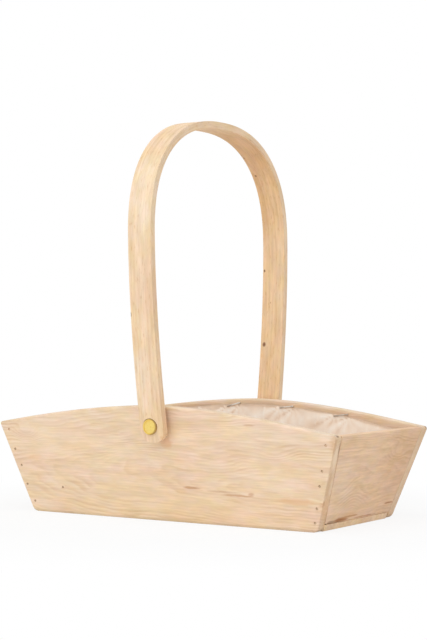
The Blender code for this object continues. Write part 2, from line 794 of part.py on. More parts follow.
def board_hole_profile():
    """Bolt hole through a side board, with a level-bottomed recess for the nut inside."""
    hole = BOLT_DIAMETER / 2 + JOINT_GAP
    recess = NUT_RECESS_DIAMETER / 2
    far = outer_half_width(PIVOT_HEIGHT) + SPLAY * recess + CUT_OVERRUN
    near = inner_half_width(PIVOT_HEIGHT) - SPLAY * recess - CUT_OVERRUN
    floor = nut_floor()
    return [(0.0, -far), (hole, -far), (hole, -floor), (recess, -floor), (recess, -near), (0.0, -near)]


def bolt_profile():
    """Domed cap and plain shank, as distances from the middle plane."""
    under = -(cap_seat() + JOINT_GAP)
    end = -(nut_faces()[1] - EDGE_EASE)
    cap = CAP_DIAMETER / 2
    shank = BOLT_DIAMETER / 2
    profile = []
    for step in range(CAP_DOME_FLATS + 1):
        turn = math.pi / 2 * step / CAP_DOME_FLATS
        profile.append((cap * math.sin(turn), under - CAP_RIM - (CAP_HEIGHT - CAP_RIM) * math.cos(turn)))
    profile += [(cap, under), (shank, under), (shank, end - EDGE_EASE), (shank - EDGE_EASE, end), (0.0, end)]
    return profile


def ring_solid(middle, outer_radius, inner_radius, near, far, sides):
    """Ring round the pivot's axis, whose place along X is the middle.

    Its radii are functions of the angle, and its faces are functions of the height.
    """
    bm = bmesh.new()
    loops = []
    edges = ((inner_radius, near), (outer_radius, near), (outer_radius, far), (inner_radius, far))
    for radius_at, end_at in edges:
        loop = []
        for step in range(sides):
            angle = math.tau * step / sides
            x = middle + radius_at(angle) * math.cos(angle)
            z = PIVOT_HEIGHT + radius_at(angle) * math.sin(angle)
            loop.append(bm.verts.new((x, -end_at(z), z)))
        loops.append(loop)
    for index, loop in enumerate(loops):
        following = loops[(index + 1) % len(loops)]
        for step in range(sides):
            after = (step + 1) % sides
            bm.faces.new((loop[step], loop[after], following[after], following[step]))
    return bm


def hexagon(angle):
    """Radius of the nut's outline at an angle."""
    sector = math.tau / 6
    return NUT_ACROSS_FLATS / 2 / math.cos(angle % sector - sector / 2)


def pivot(side, turned, board):
    """Bolt, spacer, washer and nut that hold one leg of the handle, all on the handle's axis."""
    hole = turned_solid(board_hole_profile(), TURNED_SIDES, pivot_place(turned))
    cut(board, add_cutter(f"{side}_board_bolt_hole", hole, turned))
    bolt = turned_solid(bolt_profile(), TURNED_SIDES, pivot_place(turned))
    add_object(f"{side}_pivot_bolt", bolt, BRASS, turned, smooth=True)
    bore = BOLT_DIAMETER / 2 + JOINT_GAP
    middle = pivot_x(turned)
    spacer = ring_solid(middle, lambda angle: SPACER_DIAMETER / 2, lambda angle: bore,
                        lambda z: outer_half_width(z) + JOINT_GAP, lambda z: spacer_face(), TURNED_SIDES)
    add_object(f"{side}_spacer", spacer, WOOD, turned, smooth=True)
    floor = nut_floor() - JOINT_GAP
    washer = ring_solid(middle, lambda angle: WASHER_DIAMETER / 2, lambda angle: bore,
                        lambda z: floor - WASHER_THICKNESS, lambda z: floor, TURNED_SIDES)
    add_object(f"{side}_washer", washer, STEEL, turned, smooth=True)
    outer, inner = nut_faces()
    nut = ring_solid(middle, hexagon, lambda angle: bore, lambda z: inner, lambda z: outer, NUT_SIDES)
    add_object(f"{side}_lock_nut", nut, STEEL, turned, smooth=True)


def build():
    clear_scene()
    film = liner()
    base = base_board()
    ends = {False: end_board("right_end_panel", False), True: end_board("left_end_panel", True)}
    for side, turned in (("front", False), ("back", True)):
        board = side_board(f"{side}_side_panel", turned)
        corner_brads(side, turned, (board, *ends.values()))
        staples(side, side_staple_places(), turned, board, film)
        pivot(side, turned, board)
    for end, turned in (("right", False), ("left", True)):
        base_nails(end, turned, (base, ends[turned]))
        staples(end, end_staple_places(), turned, ends[turned], film)
    handle_hoop()


build()
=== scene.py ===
"""Visual model of a wooden garden trug: nailed pale boards, a bent strap handle and a stapled film liner."""

import logging
from collections.abc import Callable, Iterable, Sequence
from dataclasses import dataclass
from enum import Enum
from math import atan, atan2, cos, exp, hypot, pi, radians, sin, sqrt, tan, tau

import bmesh
import bpy
import numpy as np
from mathutils import Matrix, Vector, noise


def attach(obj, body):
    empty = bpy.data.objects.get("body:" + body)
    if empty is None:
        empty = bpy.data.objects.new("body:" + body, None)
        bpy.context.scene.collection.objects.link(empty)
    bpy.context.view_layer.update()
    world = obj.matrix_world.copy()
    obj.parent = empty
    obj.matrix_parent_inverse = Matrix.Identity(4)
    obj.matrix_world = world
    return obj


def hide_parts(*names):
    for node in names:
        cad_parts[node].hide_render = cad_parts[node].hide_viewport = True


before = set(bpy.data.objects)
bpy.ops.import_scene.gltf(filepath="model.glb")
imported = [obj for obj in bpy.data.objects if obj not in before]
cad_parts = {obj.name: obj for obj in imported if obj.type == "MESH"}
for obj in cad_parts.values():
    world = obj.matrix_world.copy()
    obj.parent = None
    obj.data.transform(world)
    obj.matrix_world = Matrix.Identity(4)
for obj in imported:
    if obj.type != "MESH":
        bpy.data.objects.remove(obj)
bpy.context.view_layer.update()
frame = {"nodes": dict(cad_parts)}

LOG = logging.getLogger("trug")

Colour = tuple[float, float, float]
Point = tuple[float, float, float]
Station = tuple[float, float, float]
Socket = bpy.types.NodeSocket
Node = bpy.types.Node
Tree = bpy.types.NodeTree
Piece = bpy.types.Object
Material = bpy.types.Material
Form = bmesh.types.BMesh
Feed = Socket | float | int | bool | Sequence[float]

CUT_OVERRUN = 0.002
SAME_POINT = 0.000005
WELD_REACH = 0.00002


class Body(Enum):
    """The bodies that pieces ride on."""

    BOX = "box"
    HANDLE = "handle"


class Wall(Enum):
    """The four walls of the box."""

    FRONT = "front"
    BACK = "back"
    RIGHT = "right"
    LEFT = "left"


class Kind(Enum):
    """What a mark on a board is: most are features of the wood, and some are painted shade and painted light.
    """

    KNOT = "knot"
    STREAK = "streak"
    WARM = "warm"
    YELLOW = "yellow"
    SWIRL = "swirl"
    SHADE = "shade"
    # Painted shade in the gap under an end board's planed foot
    GAP_SHADE = "wane"
    PALE = "pale"
    CREAM = "cream"
    DEEP = "deep"


KNOT, STREAK, WARM, YELLOW, SWIRL, SHADE, GAP_SHADE, PALE, CREAM, DEEP = Kind


# Sizes of the box and the handle

@dataclass(frozen=True)
class BoxPlan:
    """Sizes of the box in metres, as in the CAD model, and the planes that follow from them."""

    rim_length: float = 0.3
    foot_length: float = 0.254
    rim_width: float = 0.154
    foot_width: float = 0.122
    corner_height: float = 0.0705
    crown_height: float = 0.088
    rim_curve_power: float = 1.65
    board: float = 0.0095
    base_board: float = 0.005
    base_end_setback: float = 0.0005
    rim_round: float = 0.0026
    edge_ease: float = 0.0006
    rim_corner_radius: float = 0.0022
    rim_clear_share: float = 1.5
    round_fade: float = 0.014
    foot_corner_radius: float = 0.005
    joint_gap: float = 0.0003
    foot_gap_rise: float = 0.0005
    foot_gap_length: float = 0.026

    @property
    def splay(self) -> float:
        """Slope of the side boards, sideways over upward."""
        return (self.rim_width - self.foot_width) / 2 / self.corner_height

    @property
    def slant(self) -> float:
        """Slope of the end boards, sideways over upward."""
        return (self.rim_length - self.foot_length) / 2 / self.corner_height

    def half_width(self, z: float) -> float:
        """Half the width over the side boards' outer faces at a height."""
        return self.foot_width / 2 + self.splay * z

    def half_length(self, z: float) -> float:
        """Half the length over the end boards' outer faces at a height."""
        return self.foot_length / 2 + self.slant * z

    def inner_half_width(self, z: float) -> float:
        """Half the width between the side boards' inner faces at a height."""
        return self.half_width(z) - self.board * hypot(1.0, self.splay)

    def inner_half_length(self, z: float) -> float:
        """Half the length between the end boards' inner faces at a height."""
        return self.half_length(z) - self.board * hypot(1.0, self.slant)

    def rim_height(self, x: float) -> float:
        """Height of the arched top edge of a side board."""
        share = min(abs(2 * x / self.rim_length), 1.0)
        rise = self.crown_height - self.corner_height
        return self.corner_height + rise * (1.0 - share ** self.rim_curve_power)

    @property
    def rim_reach(self) -> float:
        """How far from the middle the arched rim goes before its rounded corner takes over."""
        return self.rim_length / 2 - self.rim_clear_share * self.rim_corner_radius

    def rim_rounding(self, x: float) -> float:
        """Width of the rim's rounding at a place along it; it fades to a plain ease at the corners."""
        share = (self.rim_reach - abs(x)) / self.round_fade
        return self.edge_ease + (self.rim_round - self.edge_ease) * min(max(share, 0.0), 1.0)


@dataclass(frozen=True)
class PivotPlan:
    """Sizes of the handle's pivots in metres, as in the CAD model."""

    box: BoxPlan
    height: float = 0.0725
    off_centre: float = 0.0008
    bolt_diameter: float = 0.005
    cap_diameter: float = 0.012
    cap_height: float = 0.0027
    cap_rim: float = 0.0007
    cap_seat_depth: float = 0.0004
    spacer_diameter: float = 0.012
    spacer_length: float = 0.00344
    washer_diameter: float = 0.011
    washer_thickness: float = 0.0008
    nut_across_flats: float = 0.008
    nut_height: float = 0.0027
    recess_depth: float = 0.0052
    recess_diameter: float = 0.0135
    running_clearance: float = 0.0004

    def place(self, far: bool) -> Matrix:
        """Place of the pivot's axis; what is made there for the far side is turned half round afterwards."""
        return Matrix.Translation((-self.off_centre if far else self.off_centre, 0.0, self.height))

    @property
    def spacer_face(self) -> float:
        """Distance from the middle plane to the spacer's outer face."""
        return self.box.half_width(self.height) + self.box.joint_gap + self.spacer_length

    @property
    def nut_floor(self) -> float:
        """Distance from the middle plane to the floor of the nut's recess."""
        return self.box.inner_half_width(self.height) + self.recess_depth

    @property
    def nut_outer(self) -> float:
        """Distance from the middle plane to the nut's face on the washer."""
        return self.nut_floor - self.washer_thickness - 2 * self.box.joint_gap


@dataclass(frozen=True)
class HoopPlan:
    """Sizes of the bent strap in metres, as in the CAD model, and the path of its outer face."""

    pivot: PivotPlan
    strap_width: float = 0.0201
    strap_thickness: float = 0.0056
    off_centre: float = 0.0012
    leans: float = radians(1.03)
    edge_round: float = 0.0011
    end_radius: float = 0.0085
    tail: float = 0.012
    height: float = 0.3065
    width: float = 0.205
    widest_height: float = 0.215
    crown_power: float = 2.35
    leg_power: float = 1.8
    tail_steps: int = 12
    leg_steps: int = 30
    crown_steps: int = 48

    @property
    def lean(self) -> float:
        """Slope of the straight lower leg, sideways over upward."""
        gap = self.pivot.box.joint_gap
        room = self.width / 2 - self.pivot.spacer_face - gap
        reach = (self.widest_height - self.pivot.height) / self.leg_power + self.pivot.spacer_diameter / 2
        root = sqrt(room ** 2 + reach ** 2 - self.strap_thickness ** 2)
        return (room * reach - self.strap_thickness * root) / (reach ** 2 - self.strap_thickness ** 2)

    @property
    def inner_at_pivot(self) -> float:
        """Distance from the middle plane to the strap's inner face on the pivot's axis."""
        return self.pivot.spacer_face + self.pivot.box.joint_gap + self.lean * self.pivot.spacer_diameter / 2

    @property
    def outer_at_pivot(self) -> float:
        """Distance from the middle plane to the strap's outer face on the pivot's axis."""
        return self.inner_at_pivot + self.strap_thickness * hypot(1.0, self.lean)

    def half_path(self) -> list[Station]:
        """Outer face from the back leg's lower end to the crown.

        Returns:
            Stations as (y, z, half width of the strap).
        """
        along = Vector((self.lean, 1.0)).normalized()
        foot = Vector((self.outer_at_pivot, self.pivot.height))
        half = self.strap_width / 2
        stations = []
        for step in range(self.tail_steps + 1):
            turn = pi / 2 * step / self.tail_steps
            place = foot - along * (self.tail - self.end_radius * (1.0 - cos(turn)))
            stations.append((place.x, place.y, half - self.end_radius * (1.0 - sin(turn))))
        span = self.widest_height - self.pivot.height
        draw = self.width / 2 - self.outer_at_pivot
        for step in range(self.leg_steps):
            share = 1.0 - step / self.leg_steps
            y = self.width / 2 - draw * share ** self.leg_power
            stations.append((y, self.widest_height - span * share, half))
        rise = self.height - self.widest_height
        power = 2 / self.crown_power
        for step in range(self.crown_steps + 1):
            turn = pi / 2 * step / self.crown_steps
            y = self.width / 2 * abs(cos(turn)) ** power if step < self.crown_steps else 0.0
            stations.append((y, self.widest_height + rise * sin(turn) ** power, half))
        return stations

    def full_path(self) -> list[Station]:
        """Outer face from the front leg's lower end over the crown to the back leg's lower end."""
        half = self.half_path()
        return [(-y, z, wide) for y, z, wide in half] + [(y, z, wide) for y, z, wide in reversed(half[:-1])]


# Node trees

def opaque(colour: Colour) -> tuple[float, float, float, float]:
    """A colour with full alpha, as sockets want it."""
    return (*colour, 1.0)


class Wiring:
    """Adds nodes to a shader tree or a geometry tree and links them."""

    def __init__(self, tree: Tree) -> None:
        """Keep the tree that the nodes go into."""
        self.tree = tree

    def feed(self, socket: Socket, value: Feed) -> None:
        """Link a socket's value, or write it there if it is a plain number, vector or colour."""
        if isinstance(value, Socket):
            self.tree.links.new(value, socket)
        else:
            socket.default_value = value

    def add(self, kind: str, inputs: dict[str | int, Feed] | None = None, **settings: object) -> Node:
        """A new node of a kind, with what goes into its sockets by name or number, and its own settings."""
        node = self.tree.nodes.new(kind)
        for name, value in settings.items():
            setattr(node, name, value)
        for socket, value in (inputs or {}).items():
            self.feed(node.inputs[socket], value)
        return node

    def calc(self, operation: str, first: Feed, second: Feed = 0.0, clamp: bool = False) -> Socket:
        """One step of arithmetic on numbers."""
        inputs = {0: first, 1: second}
        return self.add("ShaderNodeMath", inputs, operation=operation, use_clamp=clamp).outputs[0]

    def times(self, first: Feed, second: Feed, clamp: bool = False) -> Socket:
        """Product of two numbers."""
        return self.calc("MULTIPLY", first, second, clamp)

    def plus(self, first: Feed, second: Feed, clamp: bool = False) -> Socket:
        """Sum of two numbers."""
        return self.calc("ADD", first, second, clamp)

    def minus(self, first: Feed, second: Feed) -> Socket:
        """Difference of two numbers."""
        return self.calc("SUBTRACT", first, second)

    def aim(self, operation: str, first: Feed, second: Feed) -> Socket:
        """One step of arithmetic on vectors, part by part."""
        return self.add("ShaderNodeVectorMath", {0: first, 1: second}, operation=operation).outputs[0]

    def scaled(self, vector: Feed, scale: Feed) -> Socket:
        """A vector multiplied part by part."""
        return self.aim("MULTIPLY", vector, scale)

    def length(self, vector: Feed) -> Socket:
        """How long a vector is."""
        return self.add("ShaderNodeVectorMath", {0: vector}, operation="LENGTH").outputs["Value"]

    def here(self) -> Socket:
        """The place in the object's own frame, in metres."""
        return self.add("ShaderNodeTexCoord").outputs["Object"]

    def facing(self) -> Socket:
        """The way that the surface faces, in the object's own frame."""
        return self.add("ShaderNodeTexCoord").outputs["Normal"]

    def split(self, vector: Feed) -> Sequence[Socket]:
        """The three parts of a vector."""
        return self.add("ShaderNodeSeparateXYZ", {0: vector}).outputs

    def join(self, x: Feed, y: Feed, z: Feed) -> Socket:
        """The vector of three parts."""
        return self.add("ShaderNodeCombineXYZ", {0: x, 1: y, 2: z}).outputs[0]

    def ease(self, value: Feed, low: Feed, high: Feed, start: Feed = 0.0, end: Feed = 1.0) -> Socket:
        """Smooth rise from start to end while the value goes from low to high."""
        inputs = {0: value, 1: low, 2: high, 3: start, 4: end}
        return self.add("ShaderNodeMapRange", inputs, interpolation_type="SMOOTHSTEP").outputs[0]

    def blend(self, share: Feed, first: Feed, second: Feed, mode: str = "MIX") -> Socket:
        """Mix of two colours."""
        inputs = {0: share, 6: first, 7: second}
        return self.add("ShaderNodeMix", inputs, data_type="RGBA", blend_type=mode).outputs[2]

    def wash(self, share: Feed, colour: Feed, tint: Colour) -> Socket:
        """A colour multiplied by a tint, as far as the share says."""
        return self.blend(share, colour, self.blend(1.0, colour, opaque(tint), "MULTIPLY"))

    def cloud(self, place: Feed, scale: Feed, detail: float = 2.0, roughness: float = 0.5) -> Socket:
        """Noise from 0 to 1."""
        inputs = {"Vector": place, "Scale": scale, "Detail": detail, "Roughness": roughness}
        return self.add("ShaderNodeTexNoise", inputs).outputs[0]


class GroupDraft:
    """A shader node group under construction: named values come in, and named values leave it."""

    def __init__(self, name: str, inputs: dict[str, float | Point]) -> None:
        """Make the tree and the sockets that come in, each with its usual value."""
        self.tree = bpy.data.node_groups.new(name, "ShaderNodeTree")
        for title, usual in inputs.items():
            kind = "NodeSocketVector" if isinstance(usual, tuple) else "NodeSocketFloat"
            self.tree.interface.new_socket(title, in_out="INPUT", socket_type=kind).default_value = usual
        self.wiring = Wiring(self.tree)
        self.given = self.wiring.add("NodeGroupInput")

    def take(self, title: str) -> Socket:
        """A value that comes into the group."""
        return self.given.outputs[title]

    def give(self, values: dict[str, Feed]) -> Tree:
        """The group's tree, once the values that leave it are linked."""
        for title in values:
            self.tree.interface.new_socket(title, in_out="OUTPUT", socket_type="NodeSocketFloat")
        self.wiring.add("NodeGroupOutput", values)
        return self.tree


# Noises of the wood: repeats per metre along the board, across it and into it, and how detailed they are
WOOD_NOISES: dict[str, tuple[Point, float]] = {
    "slow waver": ((9.0, 26.0, 26.0), 2.0),
    "middle waver": ((34.0, 80.0, 60.0), 2.0),
    "quick waver": ((120.0, 210.0, 160.0), 1.0),
    "strength": ((22.0, 70.0, 50.0), 2.0),
    "fine fibre": ((90.0, 2400.0, 2400.0), 3.0),
    "coarse fibre": ((26.0, 620.0, 620.0), 2.0),
    "patch": ((13.0, 34.0, 30.0), 2.0),
    "blush": ((31.0, 74.0, 60.0), 3.0),
    "mottle": ((44.0, 170.0, 130.0), 3.0),
    "red": ((95.0, 210.0, 190.0), 2.0),
    "blue": ((75.0, 165.0, 150.0), 2.0),
    "fleck": ((170.0, 900.0, 900.0), 2.0),
}
WAVER_SHARES = {"slow waver": 5.2, "middle waver": 1.3, "quick waver": 0.22}
SEED_SHIFT: Point = (0.37, 0.61, 0.83)
TORN_EDGE_SCALE: Point = (160.0, 520.0, 300.0)
RING_COUNT_START = 60.0
RING_DARKEST = 0.8


class EffectGroups:
    """Shader node groups that several finishes share, each built once."""

    def __init__(self) -> None:
        """Build all the groups."""
        self.figure = self.timber_figure()
        self.mark = self.grain_and_shade_mark()
        self.tarnish = self.metal_tarnish()

    def timber_figure(self) -> Tree:
        """Growth rings of a sawn board, with its fibres and its broad changes of tone.

        Place is (along the board, across its face, out of its face) in metres. The rings run round a pith
        axis behind the face, which is slightly off the board's line, so that arched figures come out.
        """
        draft = GroupDraft("timber_figure", {
            "Place": (0.0, 0.0, 0.0), "Pith": (0.02, 0.04, 0.03), "Ring Width": 0.0026,
            "Waver": 0.003, "Seed": 0.0, "Pull": 0.0})
        w = draft.wiring
        place = draft.take("Place")
        seed = draft.take("Seed")
        shifted = w.aim("ADD", place, w.scaled(w.join(seed, seed, seed), SEED_SHIFT))

        def streaks(title: str) -> Socket:
            """Noise drawn out along the board."""
            scale, detail = WOOD_NOISES[title]
            return w.cloud(w.scaled(shifted, scale), 1.0, detail)

        here = w.split(place)
        pith = w.split(draft.take("Pith"))
        waver: Feed = 0.0
        for title, share in WAVER_SHARES.items():
            waver = w.plus(waver, w.times(w.minus(streaks(title), 0.5), share))
        across = w.minus(here[1], pith[1])
        behind = w.plus(w.plus(here[2], pith[2]), w.times(pith[0], here[0]))
        radius = w.calc("SQRT", w.plus(w.calc("POWER", across, 2.0), w.calc("POWER", behind, 2.0)))
        radius = w.plus(radius, w.times(waver, draft.take("Waver")))
        radius = w.plus(radius, draft.take("Pull"))
        count = w.plus(w.calc("DIVIDE", radius, draft.take("Ring Width")), RING_COUNT_START)
        inside = w.calc("FRACT", count)
        line = w.times(w.ease(inside, 0.12, RING_DARKEST), w.ease(inside, RING_DARKEST, 1.0, 1.0, 0.0))
        year = w.add("ShaderNodeTexWhiteNoise", {1: w.calc("FLOOR", count)}, noise_dimensions="1D").outputs[0]
        strength = w.plus(w.times(year, 0.7), 0.3)
        strength = w.times(strength, w.ease(streaks("strength"), 0.32, 0.68, 0.2, 1.18))
        ring = w.times(line, strength, clamp=True)
        fibre = w.plus(w.times(streaks("fine fibre"), 0.5), w.times(streaks("coarse fibre"), 0.5))
        mottle = w.ease(streaks("mottle"), 0.34, 0.66, 0.955, 1.036)
        return draft.give({
            "Ring": ring,
            "Fibre": fibre,
            "Tone": w.times(mottle, w.ease(fibre, 0.32, 0.7, 0.925, 1.053)),
            "Red": w.ease(streaks("red"), 0.3, 0.7, 0.98, 1.022),
            "Blue": w.ease(streaks("blue"), 0.3, 0.7, 0.93, 1.07),
            "Fleck": w.ease(streaks("fleck"), 0.58, 0.72),
            "Patch": w.ease(streaks("patch"), 0.42, 0.72),
            "Blush": w.ease(streaks("blush"), 0.4, 0.7),
            "Height": w.plus(w.times(ring, -0.4), fibre),
        })

    def grain_and_shade_mark(self) -> Tree:
        """A knot, streak, patch, painted shade or painted light at one place of a board, and how it pushes
        the rings aside.
        """
        draft = GroupDraft("grain_and_shade_mark", {
            "Place": (0.0, 0.0, 0.0), "Centre": (0.0, 0.0, 0.0), "Span": (0.01, 0.003, 0.01), "Ragged": 0.5})
        w = draft.wiring
        away = w.aim("SUBTRACT", draft.take("Place"), draft.take("Centre"))
        share = w.aim("DIVIDE", away, draft.take("Span"))
        rough = w.minus(w.cloud(w.scaled(draft.take("Place"), TORN_EDGE_SCALE), 1.0, 2.0), 0.5)
        reach = w.length(share)
        torn = w.plus(reach, w.times(rough, draft.take("Ragged")))
        sided = w.calc("MAXIMUM", w.calc("MINIMUM", w.split(share)[1], 1.0), -1.0)
        return draft.give({
            "Mask": w.ease(torn, 0.35, 1.0, 1.0, 0.0),
            "Part": w.times(sided, w.ease(reach, 0.5, 3.2, 1.0, 0.0)),
            "Crest": w.ease(reach, 0.0, 1.6, 1.0, 0.0),
        })

    def metal_tarnish(self) -> Tree:
        """Dull blotches and fine rubbed marks on metal."""
        draft = GroupDraft("metal_tarnish", {
            "Place": (0.0, 0.0, 0.0), "Blotch Size": 0.002, "Scratch Size": 0.0003})
        w = draft.wiring
        place = draft.take("Place")
        blotch = w.cloud(place, w.calc("DIVIDE", 1.0, draft.take("Blotch Size")), 3.0, 0.6)
        long_way = w.scaled(place, (1.0, 1.0, 6.0))
        scratch = w.cloud(long_way, w.calc("DIVIDE", 1.0, draft.take("Scratch Size")), 2.0)
        return draft.give({"Blotch": w.ease(blotch, 0.4, 0.7), "Scratch": scratch})


# Finishes

def blank_material(name: str) -> tuple[Material, Wiring, Node]:
    """A new material, its wiring and its Principled shader."""
    made = bpy.data.materials.new(name)
    made.use_nodes = True
    return made, Wiring(made.node_tree), made.node_tree.nodes["Principled BSDF"]


def coat(w: Wiring, shader: Node, colour: Feed, roughness: Feed, relief: tuple[Feed, float, float]) -> None:
    """Give a shader its colour, its roughness and its relief: the pattern, its strength and its depth."""
    height, strength, depth = relief
    bump = w.add("ShaderNodeBump", {"Strength": strength, "Distance": depth, "Height": height})
    w.feed(shader.inputs["Base Color"], colour)
    w.feed(shader.inputs["Roughness"], roughness)
    w.feed(shader.inputs["Normal"], bump.outputs[0])


@dataclass(frozen=True)
class Mark:
    """One mark on a board, of the wood or of painted shade and light: where it lies on a board's face and how
    far it reaches, in metres.
    """

    kind: Kind
    along: float
    across: float
    half_length: float
    half_height: float
    strength: float = 1.0
    depth: float = 0.0
    half_depth: float = 0.012
    push: float = 1.0


MARK_TINTS: dict[Kind, Colour] = {
    KNOT: (0.24, 0.11, 0.055),
    STREAK: (0.49, 0.21, 0.082),
    WARM: (0.8, 0.48, 0.25),
    YELLOW: (0.83, 0.63, 0.32),
    SWIRL: (0.76, 0.53, 0.33),
    SHADE: (0.64, 0.39, 0.2),
    # Painted shade of the gap under an end board's planed foot
    GAP_SHADE: (0.43, 0.185, 0.065),
    PALE: (0.98, 0.78, 0.57),
}

# CREAM lightens and DEEP darkens; on the right end board, under the handle's crown and along its back leg's
# left arris they are painted light and shade
MARK_WASHES: dict[Kind, Colour] = {
    CREAM: (1.02, 1.1, 1.2),
    DEEP: (0.9, 0.82, 0.76),
}

# Which of a mark's values pushes the rings aside
MARK_PUSHES = {KNOT: "Part", SWIRL: "Crest"}

KNOT_RAGGED = 0.25
MARK_RAGGED = 0.9

# A darker tone tells more in green and in blue than in red
GREEN_POWER = 1.25
BLUE_POWER = 1.6

# How far a face has to be turned, as parts of its normal, to count as the rim's top or as a cut end
RIM_FACING = (0.35, 0.85)
END_FACING = (0.7, 0.93)

FLECK_WASH: Colour = (0.84, 0.72, 0.6)
# Painted highlight: where the rim's top faces up, its colour is paled and greyed
RIM_HIGHLIGHT_WASH: Colour = (1.0, 1.06, 1.14)
# Painted shade: darker and greyer along a board's lower edge, where it meets the floor
FOOT_SHADE_WASH: Colour = (0.76, 0.75, 0.72)


@dataclass(frozen=True)
class FaceFrame:
    """A board's own frame: along it, up its outer face and out of that face."""

    facing: float = 0.0
    lean: float = 0.0
    foot: float = 0.0

    @property
    def turn(self) -> Point:
        """Euler angles that bring the object's frame to the board's."""
        level = Matrix.Rotation(self.facing, 3, "Z")
        return tuple((Matrix.Rotation(-pi / 2 - self.lean, 3, "X") @ level).to_euler("XYZ"))

    @property
    def shift(self) -> Point:
        """What is then added, so that the foot of the outer face is at zero."""
        return (0.0, -self.foot * sin(self.lean), -self.foot * cos(self.lean))


